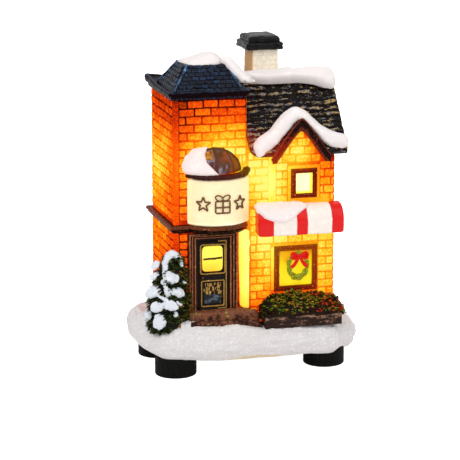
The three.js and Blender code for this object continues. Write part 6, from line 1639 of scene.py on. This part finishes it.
patch_x = np.linspace(0, 1, 110)
patch_s = np.linspace(0, 1, 60)[:, None]
snow_left, snow_length = 0.3, 15.9
near = np.interp(patch_x.ravel(), (0, 0.2, 0.5, 0.8, 1.0), (0.0, 0.0, 0.02, 0.1, 0.28))
far = np.interp(patch_x.ravel(), (0, 0.12, 0.3, 0.5, 0.65, 0.8, 1.0),
                (0.42, 0.72, 0.86, 0.9, 0.84, 0.6, 0.34))
part = near + (far - near) * patch_s
angle = part * np.pi / 2
awning_base = gather(snow_left + snow_length * patch_x,
                     house.front + 0.2 - slope_y * np.sin(angle) ** 0.9,
                     canopy.top - 0.3 - SLOPE_DROP * (1 - np.cos(angle)))
awning_out = gather(0.0, -np.sin(angle), np.cos(angle))
piece("awning_snow_patch", [snow_patch(awning_base, awning_out, 1.35, seed=371, edge_u=0.12, edge_v=0.2,
                                       sunk=0.5)], snow_paste, ["awning_snow"], sharp=180)

# The doorstep and the planter: rough cast stone and a rough board, reddish and dark brown, lit red
# where they meet the wall.
step_path = ((-11.9, 19.2), (-13.2, 19.22), (-14.9, 19.15), (-15.5, 18.7), (-15.65, 17.6), (-15.8, 17.0),
             (-16.8, 16.95), (-17.6, 16.8), (-17.95, 16.2), (-17.9, 15.0), (-18.0, 13.95))
path = resampled(step_path, 90)
step_x = np.linspace(doorstep.left + 1.1, doorstep.right, 220)
fall = np.clip(1 - np.minimum(step_x - step_x[0], (doorstep.right - step_x) * 0.5) / 0.9, 0, 1)
step_top = gather(step_x[:, None], path[:, 0], path[:, 1] - (path[:, 1] - 14) * 0.9 * (fall ** 2.5)[:, None])
lift = 0.26 * lumps(step_top, 2.4, 2, 381) + 0.12 * lumps(step_top, 0.7, 2, 383)
step_top = step_top + lift[..., None] * (0, -0.5, 0.6)
step_top[..., 2] = np.maximum(step_top[..., 2], 13.9)
step_under = step_top * (1, 0, 0) + (0, doorstep.back, 13.9)
step_under[..., 1] = path[:, 0] * 0.6 - 4.8
step_shade = np.clip(0.5 + 0.9 * lift + 0.3 * ease(path[:, 1], 16, 19), 0, 1)
step_stone = brushed("step_stone", "2a1812", "80503a", "9a8a44", size=0.9, reach=0.52, fleck_size=1.3,
                     flecks=0.16, rough=0.5, bump=0.8, depth=0.25, leak=0.4, leak_tone=-0.4, gloss=0.08)
step_form = quilt(step_top, step_under, step_shade, 0.2)
piece("rough_doorstep", [step_form], step_stone, ["door_step"], sharp=60)

planter = Box("planter_box")
planter_path = np.array(((planter.back, planter.top - 0.2), (planter.front + 1.2, planter.top),
                         (planter.front + 0.35, planter.top - 0.1), (planter.front + 0.05, planter.top - 0.6),
                         (planter.front + 0.1, planter.top - 1.8), (planter.front, 13.9)))
path = resampled(planter_path, 60)
planter_x = np.linspace(planter.left, planter.right, 240)
board = gather(planter_x[:, None], *path.T)
scrape = rough(board * (0.3, 1, 1.6), 0.9, 391) + 0.6 * rough(board * (0.5, 1, 2), 0.5, 392)
wave = 0.18 * rough(board * (1, 0, 0), 4.0, 393)
board = board + (0.16 * scrape)[..., None] * (0, -0.6, 0.5) + wave[..., None] * (0, -0.4, 0.8)
board[..., 1] = np.maximum(board[..., 1], planter.front)
board_back = board * (1, 0, 0) + (0, planter.back, 13.8)
board_back[..., 1] = path[:, 0] * 0.7 - 4.5
board_shade = 0.32 + 0.3 * scrape + 0.3 * np.exp(-((path[:, 1] - planter.top + 0.3) / 0.4) ** 2)
board_shade = np.clip(board_shade, 0, 1)
planter_paint = brushed("planter_paint", "2c1e18", "94705c", "a8745a", size=0.45, reach=0.52, fleck_size=1.2,
                        flecks=0.14, rough=0.45, bump=0.7, depth=0.25, leak=0.1, leak_tone=-0.45, gloss=0.08)
board_form = quilt(board, board_back, board_shade, 0.2)
piece("planter_board", [board_form], planter_paint, ["planter_box"], sharp=60)

# Shrubs: a low lumpy mass of small leaves. Leaves at the left are green, those at the right turn red
# and orange, and between them the mass is almost black.
shrubs = Box("shrubs")
shrub_rng = np.random.default_rng(23)


def foliage(name, forms, low, mid, high, stands_for=()):
    """Foliage coloured by its raised value: low in the gaps, then mid, then high on the brightest."""
    finish, tree, shader, work = grain_paint(name, low, mid, size=0.6, rough=0.4, bump=0.3,
                                             Specular_IOR_Level=0.12)
    waver = calc(tree, "MULTIPLY_ADD", work["Height"], 0.3, raised_in(tree))
    ramp = ramp_of(tree, calc(tree, "SUBTRACT", waver, 0.15), (low, mid, *high))
    drive(tree, shader, Base_Color=ramp)
    return piece(name, forms, finish, stands_for, sharp=60)


mound_turn = np.linspace(0, np.pi, 60)
mound_x = np.linspace(0, 1, 160)[:, None]
mound_at = shrubs.left + (shrubs.right - shrubs.left) * mound_x
crown = np.interp(mound_at.ravel(), (1.4, 3, 6, 9, 13, 17, 21, 25, 27.4),
                  (1.5, 5.0, 6.3, 6.6, 7.0, 6.4, 6.0, 4.6, 1.0))[:, None]
mound_half_y = (shrubs.back - shrubs.front) / 2 - 0.4
mound = gather(mound_at,
               shrubs.middle[1] - mound_half_y * np.cos(mound_turn) * (0.6 + 0.4 * np.sqrt(crown / 7)),
               shrubs.foot - 0.3 + crown * np.sin(mound_turn) ** 0.7)
mound = ruffled(mound, 0.55, 1.5, 401, 3, loop=False)
mound_floor = mound * (1, 1, 0) + (0, 0, shrubs.foot - 0.6)
count = 1400
at_x = shrub_rng.integers(2, 158, count)
at_turn = shrub_rng.integers(2, 58, count)
spots = mound[at_x, at_turn] + shrub_rng.normal(0, 0.12, (count, 3))
out = patch_normals(mound)[at_x, at_turn]
tips = spots + 0.6 * out * shrub_rng.uniform(0.5, 1, (count, 1)) + shrub_rng.normal(0, 0.36, (count, 3))
tips[:, 1] = np.maximum(tips[:, 1], shrubs.front)
patches = rough(spots, 3.2, 402)
green = shrub_rng.uniform(0.0, 0.8, count) + 0.3 * patches - 0.4 * ease(-spots[:, 0], -7, -3)
reddish = (spots[:, 0] > 18 + 4 * patches) & (shrub_rng.uniform(0, 1, count) < 0.5)
shrub_greens = ("5c7c1c", "96861e", "c8762a", "7c4618")
foliage("shrub_mass", [quilt(mound, mound_floor, 0.0, 0.0),
                       scattered(spots[~reddish], tips[~reddish], 0.62, np.clip(green[~reddish], 0, 1))],
        "1c0c04", "463a0e", shrub_greens, ["shrubs"])
foliage("shrub_berries", [scattered(spots[reddish], tips[reddish], 0.62, np.clip(green[reddish], 0, 1))],
        "200a06", "74200c", ("c0280e", "d84c1c", "9a1c10"))

# The fir: a lumpy cone of short broad twigs, nearly black inside, with thick white snow laid on in
# separate clumps and an arch of snow over its tip.
fir = Box("fir_tree")
tree_cap = Box("fir_tree_snow")
tree_rng = np.random.default_rng(31)
tree_middle = fir.middle[:2]
TREE_TOP = tree_cap.top - 0.6
trunk_part = np.linspace(0, 1, 90)
tier = 0.86 + 0.14 * np.abs(np.sin(trunk_part * np.pi * 3.5 + 0.5))
profile_x = np.interp(trunk_part, (0, 0.1, 0.35, 0.6, 0.8, 0.93, 1.0),
                      (4.9, 6.0, 6.2, 5.1, 4.0, 2.9, 0.7)) * tier
profile_y = profile_x * 0.66
cone_turn = round_turn(90)
lean = 1.4 + 1.1 * ease(trunk_part, 0.3, 1.0)
cone = gather(tree_middle[0] + lean[:, None] + profile_x[:, None] * np.cos(cone_turn),
              tree_middle[1] + profile_y[:, None] * np.sin(cone_turn),
              fir.foot + (TREE_TOP - fir.foot) * trunk_part[:, None])
cone = ruffled(cone, 0.5, 1.6, 411, 3)
count = 1200
row = (89 * tree_rng.uniform(0, 1, count) ** 1.15).astype(int)
column = tree_rng.integers(0, 90, count)
start = cone[row, column]
away = start - np.column_stack([tree_middle[0] + lean[row], np.full(count, tree_middle[1]), start[:, 2]])
away[:, 2] = 0
away /= np.maximum(np.linalg.norm(away, axis=1, keepdims=True), 1e-6)
twig = start + away * tree_rng.uniform(0.4, 1.3, (count, 1))
twig = twig + tree_rng.normal(0, 0.45, (count, 3)) - (0, 0, 0.25)
twig[:, 0] = np.clip(twig[:, 0], fir.left + 0.1, fir.right + 2.2)
twig[:, 1] = np.clip(twig[:, 1], fir.front + 0.1, fir.back - 0.1)
twig_light = np.clip(tree_rng.uniform(0, 0.8, count) + 0.25 * (away[:, 0] > 0.4), 0, 1)
foliage("fir_twigs", [form(cone, 0.0), scattered(start - 0.3 * away, twig, 0.5, twig_light)],
        "080a04", "1e2a0c", ("36481a", "565a1e", "8a5a1c"), ["fir_tree"])


def clump(centre, half, seed, tilt=0.0):
    """A lump of snow: an uneven flattened ball."""
    turn = round_turn(40)
    rise = np.linspace(-np.pi / 2 + 0.08, np.pi / 2 - 0.08, 24)[:, None]
    ball = gather(half[0] * np.cos(rise) * np.cos(turn), half[1] * np.cos(rise) * np.sin(turn),
                  half[2] * np.sin(rise) + tilt * half[0] * np.cos(rise) * np.cos(turn))
    return form(ruffled(ball + centre, 0.45, 1.2, seed, 2))


def on_tree(x, height, side):
    """A place on the fir's skin, by x and height: side is -1 in front and 1 behind."""
    part = (height - fir.foot) / (TREE_TOP - fir.foot)
    over = (x - tree_middle[0] - np.interp(part, trunk_part, lean)) / np.interp(part, trunk_part, profile_x)
    deep = math.sqrt(1 - min(abs(over), 0.95) ** 2)
    return np.array([x, tree_middle[1] + side * deep * np.interp(part, trunk_part, profile_y), height])


# Clumps by x, height, half width, half height, tilt and side.
clumps = ((-30.0, 34.6, 1.3, 1.0, 0.3, -1), (-27.3, 33.6, 0.7, 1.6, 0.0, -1),
          (-27.7, 30.2, 0.6, 1.9, 0.1, -1), (-25.6, 30.9, 2.0, 1.6, -0.2, -1),
          (-30.1, 31.2, 1.5, 1.0, 0.4, -1), (-21.6, 28.9, 0.6, 0.5, 0.0, -1),
          (-30.5, 26.6, 2.4, 1.7, 0.3, -1), (-23.9, 26.5, 1.9, 1.3, -0.3, -1),
          (-26.8, 26.4, 0.9, 1.3, 0.0, -1), (-29.6, 22.5, 2.0, 1.3, 0.2, -1),
          (-26.1, 22.6, 1.9, 1.6, -0.1, -1), (-24.6, 19.9, 0.7, 0.6, 0.0, -1),
          (-32.2, 19.7, 0.8, 1.4, 0.1, -1), (-29.3, 17.8, 1.8, 2.1, 0.1, -1),
          (-23.3, 23.3, 0.8, 0.7, -0.2, -1), (-29.0, 27.0, 1.8, 1.2, 0.1, 1), (-24.0, 29.0, 1.6, 1.2, 0.1, 1),
          (-26.5, 22.0, 2.0, 1.2, 0.1, 1), (-22.5, 19.5, 1.6, 1.1, -0.2, 1), (-31.0, 18.5, 1.5, 1.1, 0.2, 1))
clump_forms = [clump(on_tree(x, height, side), (1.15 * wide, 0.6 * wide + 0.3, 1.12 * tall), 420 + k, tilt)
               for k, (x, height, wide, tall, tilt, side) in enumerate(clumps)]
# Thin runs of snow between the clumps, by x and height.
for k, run in enumerate((((-27.4, 33.6), (-27.7, 31.2), (-27.4, 28.6), (-26.9, 26.4)),
                         ((-30.4, 26.4), (-28.4, 24.8), (-27.0, 24.0), (-26.1, 22.6)),
                         ((-26.6, 26.4), (-25.4, 26.6), (-24.2, 26.9)),
                         ((-29.6, 22.5), (-28.2, 23.4), (-27.2, 24.2)))):
    laid = [on_tree(x, height, -1) - (0, 0.3, 0) for x, height in run]
    clump_forms.append(form(strand(laid, 0.55, 0.6, rows=60, columns=16, lump=0.3, size=0.9, seed=450 + k)))
arch = [(-27.3, -15.0, 32.8), (-27.0, -14.7, 35.2), (-26.1, -14.4, 37.0), (-24.7, -14.2, 37.7),
        (-23.4, -14.2, 36.9), (-22.5, -14.4, 35.2), (-22.0, -14.6, 33.4)]
clump_forms.append(form(strand(arch, (0.7, 1.0, 1.15, 1.15, 1.0, 0.8, 0.6), 1.3, rows=110, columns=26,
                               lump=0.18, seed=441)))
tree_snow = grained("tree_snow", "f0f2f6", "dde2ea", size=1.4, rough=0.4, bump=0.25, depth=0.15)
piece("fir_snow_clumps", clump_forms, tree_snow, ["fir_tree_snow"], sharp=180)
